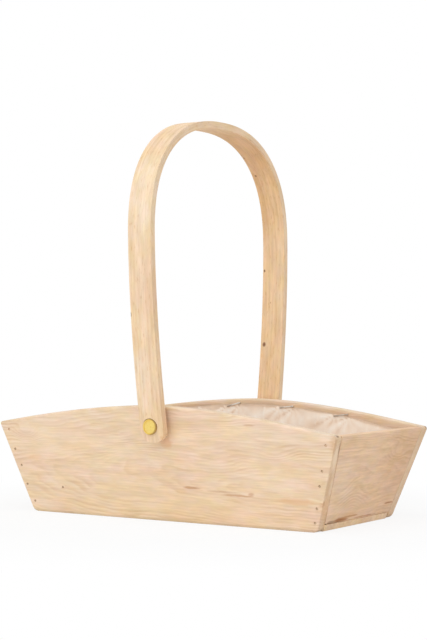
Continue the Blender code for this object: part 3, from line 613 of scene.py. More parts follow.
@dataclass(frozen=True)
class Timber:
    """Bare planed softwood: where the board's own frame lies, its rings and its marks, with painted light and
    shade on some faces.
    """

    name: str
    groups: EffectGroups
    frame: FaceFrame = FaceFrame()
    attribute: str = ""
    pith: Point = (0.02, 0.04, 0.03)
    ring_width: float = 0.0026
    waver: float = 0.003
    seed: float = 0.0
    pale: Colour = (0.872, 0.685, 0.487)
    ring: Colour = (0.735, 0.51, 0.312)
    warm: Colour = (0.88, 0.615, 0.375)
    blush: Colour = (0.895, 0.66, 0.495)
    end_grain: Colour = (0.7, 0.49, 0.32)
    end_share: float = 0.22
    contrast: float = 0.8
    patch_share: float = 0.5
    blush_share: float = 0.7
    # Tint of the inner face: on the side boards painted shade inside the box, on the handle partly the wood's
    # own warmer tone and partly painted warm shade
    inner: Colour | None = None
    inner_from: float = -0.0092
    inner_fade: float = 0.0008
    inner_share: float = 0.8
    # Painted shade along the board's lower edge, and the heights over which it fades
    foot_shade: float = 0.0
    foot_shade_heights: tuple[float, float] = (0.0011, 0.0025)
    # How strongly the rim's top gets its painted highlight
    rim_highlight: float = 0.0
    flecks: float = 0.0
    smoothest: float = 0.56
    roughest: float = 0.7
    sheen: float = 0.35
    relief: float = 0.25
    relief_depth: float = 0.0002
    marks: tuple[Mark, ...] = ()

    def turned(self, w: Wiring, vector: Feed) -> Socket:
        """A vector of the object's frame, in the board's frame."""
        inputs = {"Vector": vector, "Rotation": self.frame.turn}
        return w.add("ShaderNodeMapping", inputs, vector_type="POINT").outputs[0]

    def place(self, w: Wiring) -> Socket:
        """The board's own frame: along, across and out of its face, in metres."""
        if self.attribute:
            return w.add("ShaderNodeAttribute", attribute_name=self.attribute).outputs["Vector"]
        return w.aim("ADD", self.turned(w, w.here()), self.frame.shift)

    def spots(self, w: Wiring, place: Socket) -> tuple[list[tuple[Mark, Node]], Feed]:
        """Each mark with its node, and how far all of them push the rings aside."""
        spots = []
        pull: Feed = 0.0
        for mark in self.marks:
            spot = w.add("ShaderNodeGroup", {
                "Place": place,
                "Centre": (mark.along, mark.across, mark.depth),
                "Span": (mark.half_length, mark.half_height, mark.half_depth),
                "Ragged": KNOT_RAGGED if mark.kind is KNOT else MARK_RAGGED,
            }, node_tree=self.groups.mark)
            spots.append((mark, spot))
            if mark.kind in MARK_PUSHES:
                push = w.times(spot.outputs[MARK_PUSHES[mark.kind]], mark.half_height * mark.push)
                pull = w.plus(pull, push)
        return spots, pull

    def plain(self, w: Wiring, figure: Node) -> Socket:
        """Colour of the bare wood with its rings and tones."""
        values = figure.outputs
        colour = w.blend(w.times(values["Patch"], self.patch_share), opaque(self.pale), opaque(self.warm))
        colour = w.blend(w.times(values["Blush"], self.blush_share), colour, opaque(self.blush))
        colour = w.blend(w.times(values["Ring"], self.contrast), colour, opaque(self.ring))
        grey = values["Tone"]
        tone = w.join(w.times(grey, values["Red"]), w.calc("POWER", grey, GREEN_POWER),
                      w.times(w.calc("POWER", grey, BLUE_POWER), values["Blue"]))
        return w.blend(1.0, colour, tone, "MULTIPLY")

    def flecks_and_painted_light(self, w: Wiring, colour: Socket, place: Socket, fleck: Socket) -> Socket:
        """The colour with its flecks, a painted highlight on the rim's top, painted shade on the inner face
        (on the handle partly the wood's own warmer tone) and painted shade along the foot.
        """
        if self.flecks:
            colour = w.wash(w.times(fleck, self.flecks), colour, FLECK_WASH)
        # Painted highlight on the rim's top, where the face turns up
        if self.rim_highlight:
            upward = w.split(w.facing())[2]
            colour = w.wash(w.ease(upward, *RIM_FACING, 0.0, self.rim_highlight), colour, RIM_HIGHLIGHT_WASH)
        # Painted shade on the inner face; on the handle partly the wood's own warmer tone
        if self.inner:
            depth = w.split(place)[2]
            share = w.ease(depth, self.inner_from, self.inner_from + self.inner_fade, self.inner_share, 0.0)
            colour = w.wash(share, colour, self.inner)
        # Painted shade along the lower edge
        if self.foot_shade:
            across = w.split(place)[1]
            colour = w.wash(w.ease(across, *self.foot_shade_heights, self.foot_shade, 0.0), colour, FOOT_SHADE_WASH)
        return colour

    def material(self) -> Material:
        """The finished material."""
        made, w, shader = blank_material(self.name)
        place = self.place(w)
        spots, pull = self.spots(w, place)
        figure = w.add("ShaderNodeGroup", {
            "Place": place, "Pith": self.pith, "Ring Width": self.ring_width,
            "Waver": self.waver, "Seed": self.seed, "Pull": pull,
        }, node_tree=self.groups.figure)
        values = figure.outputs
        colour = self.flecks_and_painted_light(w, self.plain(w, figure), place, values["Fleck"])
        for mark, spot in spots:
            share = w.times(spot.outputs["Mask"], mark.strength, clamp=True)
            if mark.kind in MARK_WASHES:
                colour = w.wash(share, colour, MARK_WASHES[mark.kind])
            else:
                colour = w.blend(share, colour, opaque(MARK_TINTS[mark.kind]))
        if not self.attribute:
            lengthwise = w.calc("ABSOLUTE", w.split(self.turned(w, w.facing()))[0])
            cut_end = w.ease(lengthwise, *END_FACING, 0.0, self.end_share)
            colour = w.blend(cut_end, colour, opaque(self.end_grain))
        roughness = w.ease(values["Fibre"], 0.3, 0.7, self.smoothest, self.roughest)
        coat(w, shader, colour, roughness, (values["Height"], self.relief, self.relief_depth))
        shader.inputs["Specular IOR Level"].default_value = self.sheen
        return made


@dataclass(frozen=True)
class Metal:
    """Bare metal with some tarnish and rubbed marks, and, when given, a darker rim of painted shade."""

    name: str
    groups: EffectGroups
    bright: Colour
    dull: Colour
    roughness: float
    dull_roughness: float
    blotch: float = 0.002
    tarnish: float = 0.6
    relief: float = 0.12
    relief_depth: float = 0.00005
    scratches_per_blotch: float = 8.0
    # A darker ring towards a round part's edge: painted shade and dark reflection on the rolled rim
    rim: tuple[Point, float, Colour] | None = None
    rim_from_share: float = 0.86
    rim_share: float = 0.85
    filled_above: float = 0.0
    filler_fade: float = 0.002
    filler_share: float = 0.75
    filler: Colour = (0.84, 0.62, 0.43)

    def material(self) -> Material:
        """The finished material; where a nail head is filled over, its roughness is the filler's."""
        made, w, shader = blank_material(self.name)
        place = w.here()
        worn = w.add("ShaderNodeGroup", {
            "Place": place, "Blotch Size": self.blotch,
            "Scratch Size": self.blotch / self.scratches_per_blotch,
        }, node_tree=self.groups.tarnish)
        share = w.times(worn.outputs["Blotch"], self.tarnish)
        colour = w.blend(share, opaque(self.bright), opaque(self.dull))
        if self.rim:
            middle, radius, dark = self.rim
            away = w.scaled(w.aim("SUBTRACT", place, middle), (1.0, 0.0, 1.0))
            near_rim = w.ease(w.length(away), radius * self.rim_from_share, radius, 0.0, self.rim_share)
            colour = w.blend(near_rim, colour, opaque(dark))
        if self.filled_above:
            height = w.split(place)[2]
            top = self.filled_above + self.filler_fade
            share = w.ease(height, self.filled_above, top, 0.0, self.filler_share)
            colour = w.blend(share, colour, opaque(self.filler))
        roughness = w.ease(share, 0.0, 1.0, self.roughness, self.dull_roughness)
        coat(w, shader, colour, roughness, (worn.outputs["Scratch"], self.relief, self.relief_depth))
        shader.inputs["Metallic"].default_value = 1.0
        return made


@dataclass(frozen=True)
class Film:
    """Thin see-through film, milky along its creases, with painted highlights on its fold crests and painted
    shade in its fold valleys and under its top edge.
    """

    name: str = "liner_film"
    tint: Colour = (0.98, 0.8, 0.64)
    # Colour of milky creases, also of the painted highlights on fold crests
    crease_and_painted_light: Colour = (1.0, 0.94, 0.86)
    # Colour of the painted shade under the film's top edge and in its fold valleys
    painted_shade: Colour = (0.74, 0.54, 0.385)
    alpha: float = 0.88
    crease_alpha: float = 0.94
    roughness: float = 0.32
    dull_roughness: float = 0.44
    milky_least: float = 0.24
    milky_most: float = 0.42
    cloud_scale: float = 95.0
    fine_scale: float = 420.0
    relief: float = 0.3
    relief_depth: float = 0.0003

    def material(self) -> Material:
        """The finished material."""
        made, w, shader = blank_material(self.name)
        place = w.here()
        folded = w.add("ShaderNodeAttribute", attribute_name="crease_and_painted_light").outputs["Fac"]
        cloudy = w.cloud(place, self.cloud_scale, 4.0, 0.6)
        # Milky creases, and painted highlights where fold crests are stored
        milky = w.plus(folded, w.ease(cloudy, 0.4, 0.75, self.milky_least, self.milky_most), clamp=True)
        colour = w.blend(milky, opaque(self.tint), opaque(self.crease_and_painted_light))
        # Painted shade where the stored value is below zero
        painted_shade = w.ease(folded, -0.45, 0.0, 1.0, 0.0)
        colour = w.blend(painted_shade, colour, opaque(self.painted_shade))
        roughness = w.ease(cloudy, 0.3, 0.7, self.roughness, self.dull_roughness)
        fine = w.cloud(place, self.fine_scale, 3.0, 0.55)
        coat(w, shader, colour, roughness, (fine, self.relief, self.relief_depth))
        w.feed(shader.inputs["Alpha"], w.ease(milky, 0.0, 1.0, self.alpha, self.crease_alpha))
        return made


# Mesh helpers

def link_mesh(name: str, mesh: bpy.types.Mesh) -> Piece:
    """Put a mesh in the scene as an object at the origin."""
    made = bpy.data.objects.new(name, mesh)
    bpy.context.scene.collection.objects.link(made)
    return made


def link_form(name: str, bm: Form) -> Piece:
    """Turn a working mesh into an object, with its faces outwards."""
    bmesh.ops.recalc_face_normals(bm, faces=bm.faces)
    mesh = bpy.data.meshes.new(name)
    bm.to_mesh(mesh)
    bm.free()
    return link_mesh(name, mesh)


def settle(piece: Piece) -> None:
    """Apply all of a piece's modifiers, so that a plain mesh is left."""
    graph = bpy.context.evaluated_depsgraph_get()
    graph.update()
    mesh = bpy.data.meshes.new_from_object(piece.evaluated_get(graph), depsgraph=graph)
    mesh.name = piece.name
    piece.modifiers.clear()
    piece.data = mesh


def shade(piece: Piece, degrees: float = 38.0) -> None:
    """Shade a piece smooth, sharp at its hard edges, and flat on its large faces."""
    piece.data.shade_smooth()
    piece.data.set_sharp_from_angle(angle=radians(degrees))
    even = piece.modifiers.new("even shading", "WEIGHTED_NORMAL")
    even.keep_sharp = True
    even.weight = 90
    settle(piece)


def dress(piece: Piece, finish: Material, nodes: Iterable[str], body: Body = Body.BOX) -> None:
    """Give a piece its finish, hang it on its body and hide the CAD nodes that it stands for.

    Args:
        piece: The finished piece.
        finish: Its material.
        nodes: The CAD nodes that it stands for.
        body: The body that it rides on.
    """
    piece.data.materials.clear()
    piece.data.materials.append(finish)
    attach(piece, body.value)
    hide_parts(*nodes)
    LOG.info("%s: %d faces", piece.name, len(piece.data.polygons))


def fillet(before: Vector, corner: Vector, after: Vector, radius: float, flats: int) -> list[Vector]:
    """Points of a round corner between two straight edges."""
    into = (before - corner).normalized()
    out = (after - corner).normalized()
    half = into.angle(out) / 2
    centre = corner + (into + out).normalized() * (radius / sin(half))
    start = corner + into * (radius / tan(half)) - centre
    sweep = start.angle_signed(corner + out * (radius / tan(half)) - centre)
    return [centre + Matrix.Rotation(-sweep * step / flats, 2) @ start for step in range(flats + 1)]


def bridge(bm: Form, low: Sequence[bmesh.types.BMVert], high: Sequence[bmesh.types.BMVert]) -> None:
    """Join two like loops with a strip of faces."""
    for index in range(len(low)):
        after = (index + 1) % len(low)
        bm.faces.new((low[index], low[after], high[after], high[index]))


def prism(front: Sequence[Point], back: Sequence[Point], weights: Sequence[float]) -> Form:
    """Solid between two like outlines.

    Args:
        front: Outline of the outer face.
        back: Outline of the inner face.
        weights: Bevel weight of each edge of the outlines.

    Returns:
        The working mesh, with its bevel weights.
    """
    bm = bmesh.new()
    layer = bm.edges.layers.float.new("bevel_weight_edge")
    near = [bm.verts.new(point) for point in front]
    far = [bm.verts.new(point) for point in back]
    bm.faces.new(near)
    bm.faces.new(list(reversed(far)))
    for index in range(len(near)):
        after = (index + 1) % len(near)
        bm.faces.new((near[after], near[index], far[index], far[after]))
        for ring in (near, far):
            bm.edges.get((ring[index], ring[after]))[layer] = weights[index]
    return bm


def round_edges(piece: Piece, width: float, segments: int) -> None:
    """Round the weighted edges of a piece."""
    step = piece.modifiers.new("rounded edges", "BEVEL")
    step.limit_method = "WEIGHT"
    step.width = width
    step.segments = segments
    weld = piece.modifiers.new("weld", "WELD")
    weld.merge_threshold = WELD_REACH
    settle(piece)


def turned(profile: Sequence[tuple[float, float]], place: Matrix, sides: int = 48) -> Form:
    """Closed solid turned about the Y axis, from (radius, y) pairs that start and end on the axis."""
    bm = bmesh.new()
    points = [bm.verts.new((radius, y, 0.0)) for radius, y in profile]
    edges = [bm.edges.new(pair) for pair in zip(points, points[1:])]
    bmesh.ops.spin(bm, geom=points + edges, cent=(0, 0, 0), axis=(0, 1, 0),
                   angle=tau, steps=sides, use_merge=True)
    bmesh.ops.remove_doubles(bm, verts=bm.verts, dist=SAME_POINT)
    bmesh.ops.transform(bm, matrix=place, verts=bm.verts)
    return bm


def carve(piece: Piece, cutters: Iterable[Form]) -> None:
    """Cut solids out of a piece; the cutters mustn't touch each other."""
    whole = bmesh.new()
    for cutter in cutters:
        bmesh.ops.recalc_face_normals(cutter, faces=cutter.faces)
        part = bpy.data.meshes.new("part")
        cutter.to_mesh(part)
        cutter.free()
        whole.from_mesh(part)
        bpy.data.meshes.remove(part)
    mesh = bpy.data.meshes.new("cutter")
    whole.to_mesh(mesh)
    whole.free()
    tool = link_mesh("cutter", mesh)
    step = piece.modifiers.new("holes", "BOOLEAN")
    step.operation = "DIFFERENCE"
    step.solver = "EXACT"
    step.object = tool
    settle(piece)
    bpy.data.objects.remove(tool, do_unlink=True)


def turn_about(far: bool) -> Matrix:
    """Half a turn about the upright axis for what lies on the far side, and none for the rest."""
    return Matrix.Rotation(pi if far else 0.0, 4, "Z")


def finish_board(piece: Piece, holes: Iterable[Form], far: bool) -> Piece:
    """Cut a board's holes, turn it round if it lies on the far side, and shade it."""
    carve(piece, holes)
    piece.data.transform(turn_about(far))
    shade(piece)
    return piece


# Nails and staples

def even_places(count: int, pitch: float) -> list[float]:
    """Places of a row about its middle."""
    return [pitch * (index - (count - 1) / 2) for index in range(count)]


@dataclass(frozen=True)
class NailPlan:
    """Sizes of the nails and where they go, in metres, as in the CAD model."""

    box: BoxPlan
    head_diameter: float = 0.0019
    head_depth: float = 0.0008
    shank_diameter: float = 0.0013
    brad_length: float = 0.02
    base_length: float = 0.016
    point: float = 0.0022
    sink: float = 0.0002
    hole_gap: float = 0.00004
    hole_sides: int = 24
    base_count: int = 3
    base_spread: float = 0.62
    height_shares: tuple[tuple[float, ...], tuple[float, ...]] = (
        (0.115, 0.304, 0.516, 0.698, 0.919), (0.102, 0.252, 0.487, 0.643, 0.909))
    inset_shares: tuple[tuple[float, ...], tuple[float, ...]] = (
        (0.48, 0.36, 0.51, 0.51, 0.67), (0.33, 0.41, 0.54, 0.58, 0.69))

    def brads(self, end: int) -> list[Matrix]:
        """Places of a front corner's brads, from the lowest up, with Z into the wood; end is -1 or 1."""
        which = 0 if end < 0 else 1
        depth = self.box.board * hypot(1.0, self.box.slant)
        into = Matrix.Rotation(-pi / 2, 4, "X")
        places = []
        for height_share, inset_share in zip(self.height_shares[which], self.inset_shares[which]):
            z = height_share * self.box.corner_height
            x = end * (self.box.half_length(z) - inset_share * depth)
            places.append(Matrix.Translation((x, self.sink - self.box.half_width(z), z)) @ into)
        return places

    def base_nails(self) -> list[Matrix]:
        """Places of the right end's base nails, with Z into the wood."""
        reach = self.base_spread * self.box.inner_half_width(0.0)
        depth = self.box.board * hypot(1.0, self.box.slant)
        x = self.box.half_length(self.base_length / 2) - depth / 2
        rows = even_places(self.base_count, 2 * reach / (self.base_count - 1))
        return [Matrix.Translation((x, y, self.sink)) for y in rows]

    def holes(self, places: Iterable[Matrix], length: float) -> list[Form]:
        """Cutters of the holes of nails at some places."""
        return [self.hole(place, length) for place in places]

    def hole(self, place: Matrix, length: float) -> Form:
        """Cutter of a nail's hole."""
        gap = self.hole_gap
        head = self.head_diameter / 2 + gap
        shank = self.shank_diameter / 2 + gap
        step = self.head_depth + gap
        top = -CUT_OVERRUN
        end = length + gap
        profile = [(0.0, top), (head, top), (head, step), (shank, step), (shank, end), (0.0, end)]
        return turned(profile, place @ Matrix.Rotation(pi / 2, 4, "X"), self.hole_sides)


@dataclass(frozen=True)
class StaplePlan:
    """Sizes of the staples and where they go, in metres, as in the CAD model."""

    box: BoxPlan
    crown: float = 0.0128
    leg: float = 0.0085
    wire_width: float = 0.0011
    wire_thickness: float = 0.0006
    bend: float = 0.0007
    below_rim: float = 0.0047
    film: float = 0.0006
    side_pitch: float = 0.05
    side_offset: float = 0.0035
    slants: tuple[float, ...] = (0.14, 0.14, 0.28, 0.08)
    end_pitch: float = 0.054
    end_count: int = 2

    def side_offsets(self) -> list[float]:
        """Places of the front board's staples along X."""
        return [place - self.side_offset for place in even_places(len(self.slants), self.side_pitch)]

    def end_offsets(self) -> list[float]:
        """Places of an end board's staples along Y."""
        return even_places(self.end_count, self.end_pitch)

    def seat(self, slope: float) -> float:
        """Distance from the board's inner face to the middle of a staple's crown."""
        gap = 2 * self.box.joint_gap + self.film
        return gap + self.wire_thickness / 2 + slope * self.wire_width / 2

    def side_places(self) -> list[Matrix]:
        """Places of the front board's staples, crown along X and legs towards -Y."""
        places = []
        for x, slant in zip(self.side_offsets(), self.slants):
            z = self.box.rim_height(x) - self.below_rim
            seat = self.seat(self.box.splay) + self.box.splay * slant * self.crown / 2
            aslant = Matrix.Rotation(atan(slant), 4, "Y")
            places.append(Matrix.Translation((x, seat - self.box.inner_half_width(z), z)) @ aslant)
        return places

    def end_places(self) -> list[Matrix]:
        """Places of the right end board's staples, legs towards +X."""
        z = self.box.corner_height - self.below_rim
        x = self.box.inner_half_length(z) - self.seat(self.box.slant)
        quarter = Matrix.Rotation(pi / 2, 4, "Z")
        return [Matrix.Translation((x, y, z)) @ quarter for y in self.end_offsets()]


# What is added to the seed for the tilt about each axis
TILT_SEEDS = (0.0, 17.0, 31.0)


class Fastenings:
    """Geometry node trees that set nails and staples at given places."""

    # A nail's head from its crown down, as shares of its depth and of its radius
    head_shares = ((0.0, 0.55), (0.06, 0.88), (0.22, 1.0), (0.92, 1.0))
    tip_share = 0.12
    nail_sides = 20
    # A staple's leg tapers over its last fifth
    taper_share = 0.8
    staple_tip_share = 0.3
    bend_points = 6
    edge_share = 0.3
    edge_points = 2

    def __init__(self, nails: NailPlan, staples: StaplePlan) -> None:
        """Build both trees."""
        self.nails = nails
        self.staples = staples
        self.nail_tree = self.build_nail_tree()
        self.staple_tree = self.build_staple_tree()

    def open_tree(self, name: str, sizes: dict[str, float]) -> tuple[Wiring, dict[str, Socket]]:
        """A new tree that places something at points: its wiring, and the sockets of its inputs by name."""
        tree = bpy.data.node_groups.new(name, "GeometryNodeTree")
        tree.interface.new_socket("Places", in_out="INPUT", socket_type="NodeSocketGeometry")
        for title, size in (sizes | {"Tilt": 0.0}).items():
            socket = tree.interface.new_socket(title, in_out="INPUT", socket_type="NodeSocketFloat")
            socket.default_value = size
        tree.interface.new_socket("Seed", in_out="INPUT", socket_type="NodeSocketInt").default_value = 1
        tree.interface.new_socket("Finish", in_out="INPUT", socket_type="NodeSocketMaterial")
        tree.interface.new_socket("Pieces", in_out="OUTPUT", socket_type="NodeSocketGeometry")
        w = Wiring(tree)
        given = w.add("NodeGroupInput")
        return w, {socket.name: socket for socket in given.outputs if socket.name}

    def close_tree(self, w: Wiring, given: dict[str, Socket], shape: Socket) -> None:
        """Set the shape at each point by its stored turn and a small random tilt, then make it real."""
        turn = w.add("GeometryNodeInputNamedAttribute", {"Name": "turn"}, data_type="FLOAT_VECTOR").outputs[0]
        turn = w.add("FunctionNodeEulerToRotation", {0: turn}).outputs[0]
        low = w.times(given["Tilt"], -1.0)
        tilts = []
        for offset in TILT_SEEDS:
            inputs = {2: low, 3: given["Tilt"], "Seed": w.plus(given["Seed"], offset)}
            tilts.append(w.add("FunctionNodeRandomValue", inputs, data_type="FLOAT").outputs[1])
        lean = w.add("FunctionNodeEulerToRotation", {0: w.join(*tilts)}).outputs[0]
        turn = w.add("FunctionNodeRotateRotation", {0: turn, 1: lean}, rotation_space="LOCAL").outputs[0]
        inputs = {"Points": given["Places"], "Instance": shape, "Rotation": turn}
        placed = w.add("GeometryNodeInstanceOnPoints", inputs).outputs[0]
        real = w.add("GeometryNodeRealizeInstances", {0: placed}).outputs[0]
        real = w.add("GeometryNodeSetShadeSmooth", {0: real, "Shade Smooth": True}).outputs[0]
        painted = w.add("GeometryNodeSetMaterial", {0: real, "Material": given["Finish"]}).outputs[0]
        w.add("NodeGroupOutput", {0: painted})

    def by_index(self, w: Wiring, kind: str, values: Sequence[Feed]) -> Socket:
        """A value of a kind, FLOAT or VECTOR, for each point of a curve, in order."""
        switch = w.add("GeometryNodeIndexSwitch", data_type=kind)
        for _ in range(len(values) - len(switch.index_switch_items)):
            switch.index_switch_items.new()
        index = w.add("GeometryNodeInputIndex").outputs[0]
        for socket, value in zip(switch.inputs, (index, *values)):
            w.feed(socket, value)
        return switch.outputs[0]

    def swept(self, w: Wiring, stops: Sequence[tuple[Feed, Feed, Feed]]) -> Socket:
        """A polyline through the given points, as (x, y, z), each a number or a socket."""
        line = w.add("GeometryNodeCurvePrimitiveLine").outputs[0]
        line = w.add("GeometryNodeResampleCurve", {"Curve": line, "Count": len(stops)}).outputs[0]
        places = self.by_index(w, "VECTOR", [w.join(*stop) for stop in stops])
        return w.add("GeometryNodeSetPosition", {0: line, "Position": places}).outputs[0]

    def rounded(self, w: Wiring, curve: Socket, radius: Feed, points: int) -> Socket:
        """A polyline with each corner rounded by a few points."""
        inputs = {"Curve": curve, "Radius": radius, "Count": points}
        return w.add("GeometryNodeFilletCurve", inputs, mode="POLY").outputs[0]

    def build_nail_tree(self) -> Tree:
        """Nail with a low domed head, its axis along Z into the wood."""
        plan = self.nails
        w, given = self.open_tree("nails_at_places", {
            "Head Diameter": plan.head_diameter, "Head Depth": plan.head_depth,
            "Shank Diameter": plan.shank_diameter, "Length": plan.brad_length, "Point": plan.point})
        head = w.times(given["Head Diameter"], 0.5)
        shank = w.times(given["Shank Diameter"], 0.5)
        deep = given["Head Depth"]
        stations = [(w.times(deep, share), w.times(head, wide)) for share, wide in self.head_shares]
        stations += [
            (deep, shank),
            (w.minus(given["Length"], given["Point"]), shank),
            (given["Length"], w.times(shank, self.tip_share)),
        ]
        line = self.swept(w, [(0.0, 0.0, depth) for depth, _ in stations])
        inputs = {"Resolution": self.nail_sides, "Radius": 1.0}
        circle = w.add("GeometryNodeCurvePrimitiveCircle", inputs).outputs[0]
        sizes = self.by_index(w, "FLOAT", [size for _, size in stations])
        inputs = {"Curve": line, "Profile Curve": circle, "Scale": sizes, "Fill Caps": True}
        nail = w.add("GeometryNodeCurveToMesh", inputs).outputs[0]
        self.close_tree(w, given, nail)
        return w.tree

    def build_staple_tree(self) -> Tree:
        """U of flat wire, crown along X and legs towards -Y."""
        plan = self.staples
        w, given = self.open_tree("staples_at_places", {
            "Crown": plan.crown, "Leg": plan.leg, "Wire Width": plan.wire_width,
            "Wire Thickness": plan.wire_thickness, "Bend Radius": plan.bend})
        reach = w.times(w.minus(given["Crown"], given["Wire Thickness"]), 0.5)
        left = w.times(reach, -1.0)
        tip = w.times(given["Leg"], -1.0)
        taper = w.times(given["Leg"], -self.taper_share)
        line = self.swept(w, [(left, tip, 0.0), (left, taper, 0.0), (left, 0.0, 0.0),
                              (reach, 0.0, 0.0), (reach, taper, 0.0), (reach, tip, 0.0)])
        thin = self.staple_tip_share
        sizes = self.by_index(w, "FLOAT", (thin, 1.0, 1.0, 1.0, 1.0, thin))
        sized = w.add("GeometryNodeSetCurveRadius", {"Curve": line, "Radius": sizes}).outputs[0]
        bent = self.rounded(w, sized, given["Bend Radius"], self.bend_points)
        upright = w.add("GeometryNodeSetCurveNormal", {"Curve": bent}, mode="Z_UP").outputs[0]
        inputs = {"Width": given["Wire Thickness"], "Height": given["Wire Width"]}
        flat = w.add("GeometryNodeCurvePrimitiveQuadrilateral", inputs).outputs[0]
        eased = self.rounded(w, flat, w.times(given["Wire Thickness"], self.edge_share), self.edge_points)
        wire = w.add("GeometryNodeCurveToMesh", {
            "Curve": upright, "Profile Curve": eased,
            "Scale": w.add("GeometryNodeInputRadius").outputs[0], "Fill Caps": True}).outputs[0]
        self.close_tree(w, given, wire)
        return w.tree

    def place(self, name: str, tree: Tree, places: Sequence[Matrix], inputs: dict[str, object]) -> Piece:
        """Run a tree on points.

        Args:
            name: The piece's name.
            tree: The tree to run.
            places: Where each nail or staple goes.
            inputs: Values of the tree's inputs, by name.

        Returns:
            The piece, as a plain mesh.
        """
        mesh = bpy.data.meshes.new(name)
        mesh.from_pydata([place.translation for place in places], [], [])
        turns = mesh.attributes.new("turn", "FLOAT_VECTOR", "POINT")
        for index, place in enumerate(places):
            turns.data[index].vector = tuple(place.to_euler("XYZ"))
        piece = link_mesh(name, mesh)
        modifier = piece.modifiers.new(name, "NODES")
        modifier.node_group = tree
        for item in tree.interface.items_tree:
            if item.item_type == "SOCKET" and item.in_out == "INPUT" and item.name in inputs:
                modifier[item.identifier] = inputs[item.name]
        settle(piece)
        return piece


# Boards

@dataclass
class SideBoard:
    """A splayed side board with an arched, rounded rim, and its holes."""

    wall: Wall
    box: BoxPlan
    pivot: PivotPlan
    nails: NailPlan
    rim_flats: int = 90
    corner_flats: int = 10
    segments: int = 6
    through: float = 0.005

    def outline(self) -> tuple[list[Vector], list[float]]:
        """Outline of the board seen from the front.

        Returns:
            Its points as (x, z), and the width of the rounding at each of them.
        """
        plan = self.box
        foot = Vector((plan.foot_length / 2, 0.0))
        shoulder = Vector((plan.rim_length / 2, plan.corner_height))
        far_foot = Vector((-foot.x, foot.y))
        far_shoulder = Vector((-shoulder.x, shoulder.y))
        rim = []
        for step in range(self.rim_flats + 1):
            x = plan.rim_length / 2 * cos(pi * step / self.rim_flats)
            if abs(x) < plan.rim_reach:
                rim.append(Vector((x, plan.rim_height(x))))
        right = fillet(far_foot, foot, shoulder, plan.foot_corner_radius, self.corner_flats)
        right += fillet(foot, shoulder, rim[0], plan.rim_corner_radius, self.corner_flats)
        left = fillet(rim[-1], far_shoulder, far_foot, plan.rim_corner_radius, self.corner_flats)
        left += fillet(far_shoulder, far_foot, foot, plan.foot_corner_radius, self.corner_flats)
        rounding = [plan.rim_rounding(point.x) for point in rim]
        widths = [plan.edge_ease] * len(right) + rounding + [plan.edge_ease] * len(left)
        return right + rim + left, widths

    def form(self) -> Form:
        """The board without its holes: loops from the outer face over the edge to the inner one."""
        points, widths = self.outline()
        steps = []
        for index, point in enumerate(points):
            before = (point - points[index - 1]).normalized()
            after = (points[(index + 1) % len(points)] - point).normalized()
            run = (before + after).normalized()
            steps.append(Vector((-run.y, run.x)) / run.dot(before) * widths[index])
        outer = []
        for step in range(self.segments + 1):
            turn = pi / 2 * step / self.segments
            outer.append((1.0 - sin(turn), 1.0 - cos(turn), False))
        bm = bmesh.new()
        loops = []
        for inset, depth, on_inner in outer + [(inset, depth, True) for inset, depth, _ in reversed(outer)]:
            loop = []
            for point, step, width in zip(points, steps, widths):
                x, z = point + step * inset
                face = self.box.inner_half_width(z) if on_inner else self.box.half_width(z)
                y = face + (depth if on_inner else -depth) * width
                loop.append(bm.verts.new((x, -y, z)))
            loops.append(loop)
        for low, high in zip(loops, loops[1:]):
            bridge(bm, low, high)
        bm.faces.new(list(reversed(loops[0])))
        bm.faces.new(loops[-1])
        return bm

    def bolt_hole(self) -> Form:
        """Cutter of the bolt's hole and the nut's recess."""
        plan = self.pivot
        hole = plan.bolt_diameter / 2 + self.box.joint_gap
        recess = plan.recess_diameter / 2
        far = self.box.half_width(plan.height) + self.through
        near = self.box.inner_half_width(plan.height) - self.through
        floor = plan.nut_floor
        profile = [(0.0, -far), (hole, -far), (hole, -floor), (recess, -floor), (recess, -near), (0.0, -near)]
        return turned(profile, self.pivot.place(self.wall is Wall.BACK))

    def build(self) -> Piece:
        """The board as a piece."""
        piece = link_form(f"{self.wall.value}_board", self.form())
        holes = self.nails.holes(self.nails.brads(-1) + self.nails.brads(1), self.nails.brad_length)
        return finish_board(piece, [*holes, self.bolt_hole()], self.wall is Wall.BACK)


@dataclass
class EndBoard:
    """A slanted end board between the side boards, its foot planed off outside at one corner."""

    wall: Wall
    box: BoxPlan
    nails: NailPlan
    segments: int = 6

    def edge(self, z: float) -> float:
        """Half the board's width at a height."""
        return self.box.inner_half_width(z) - self.box.joint_gap

    def build(self) -> Piece:
        """The board as a piece."""
        plan = self.box
        foot = plan.base_board + plan.joint_gap
        planed = foot + plan.foot_gap_rise
        top = plan.corner_height
        outer = []
        inner = []
        for y, outer_z, inner_z in (
                (-self.edge(planed), planed, foot),
                (plan.foot_gap_length - self.edge(foot), foot, foot),
                (self.edge(foot), foot, foot),
                (self.edge(top), top, top),
                (-self.edge(top), top, top)):
            outer.append((plan.half_length(outer_z), y, outer_z))
            inner.append((plan.inner_half_length(inner_z), max(y, -self.edge(inner_z)), inner_z))
        ease = plan.edge_ease / plan.rim_round / 2
        piece = link_form(f"{self.wall.value}_end_board", prism(outer, inner, (0.0, 0.0, ease, 1.0, ease)))
        round_edges(piece, plan.rim_round, self.segments)
        holes = self.nails.holes(self.nails.base_nails(), self.nails.base_length)
        return finish_board(piece, holes, self.wall is Wall.LEFT)


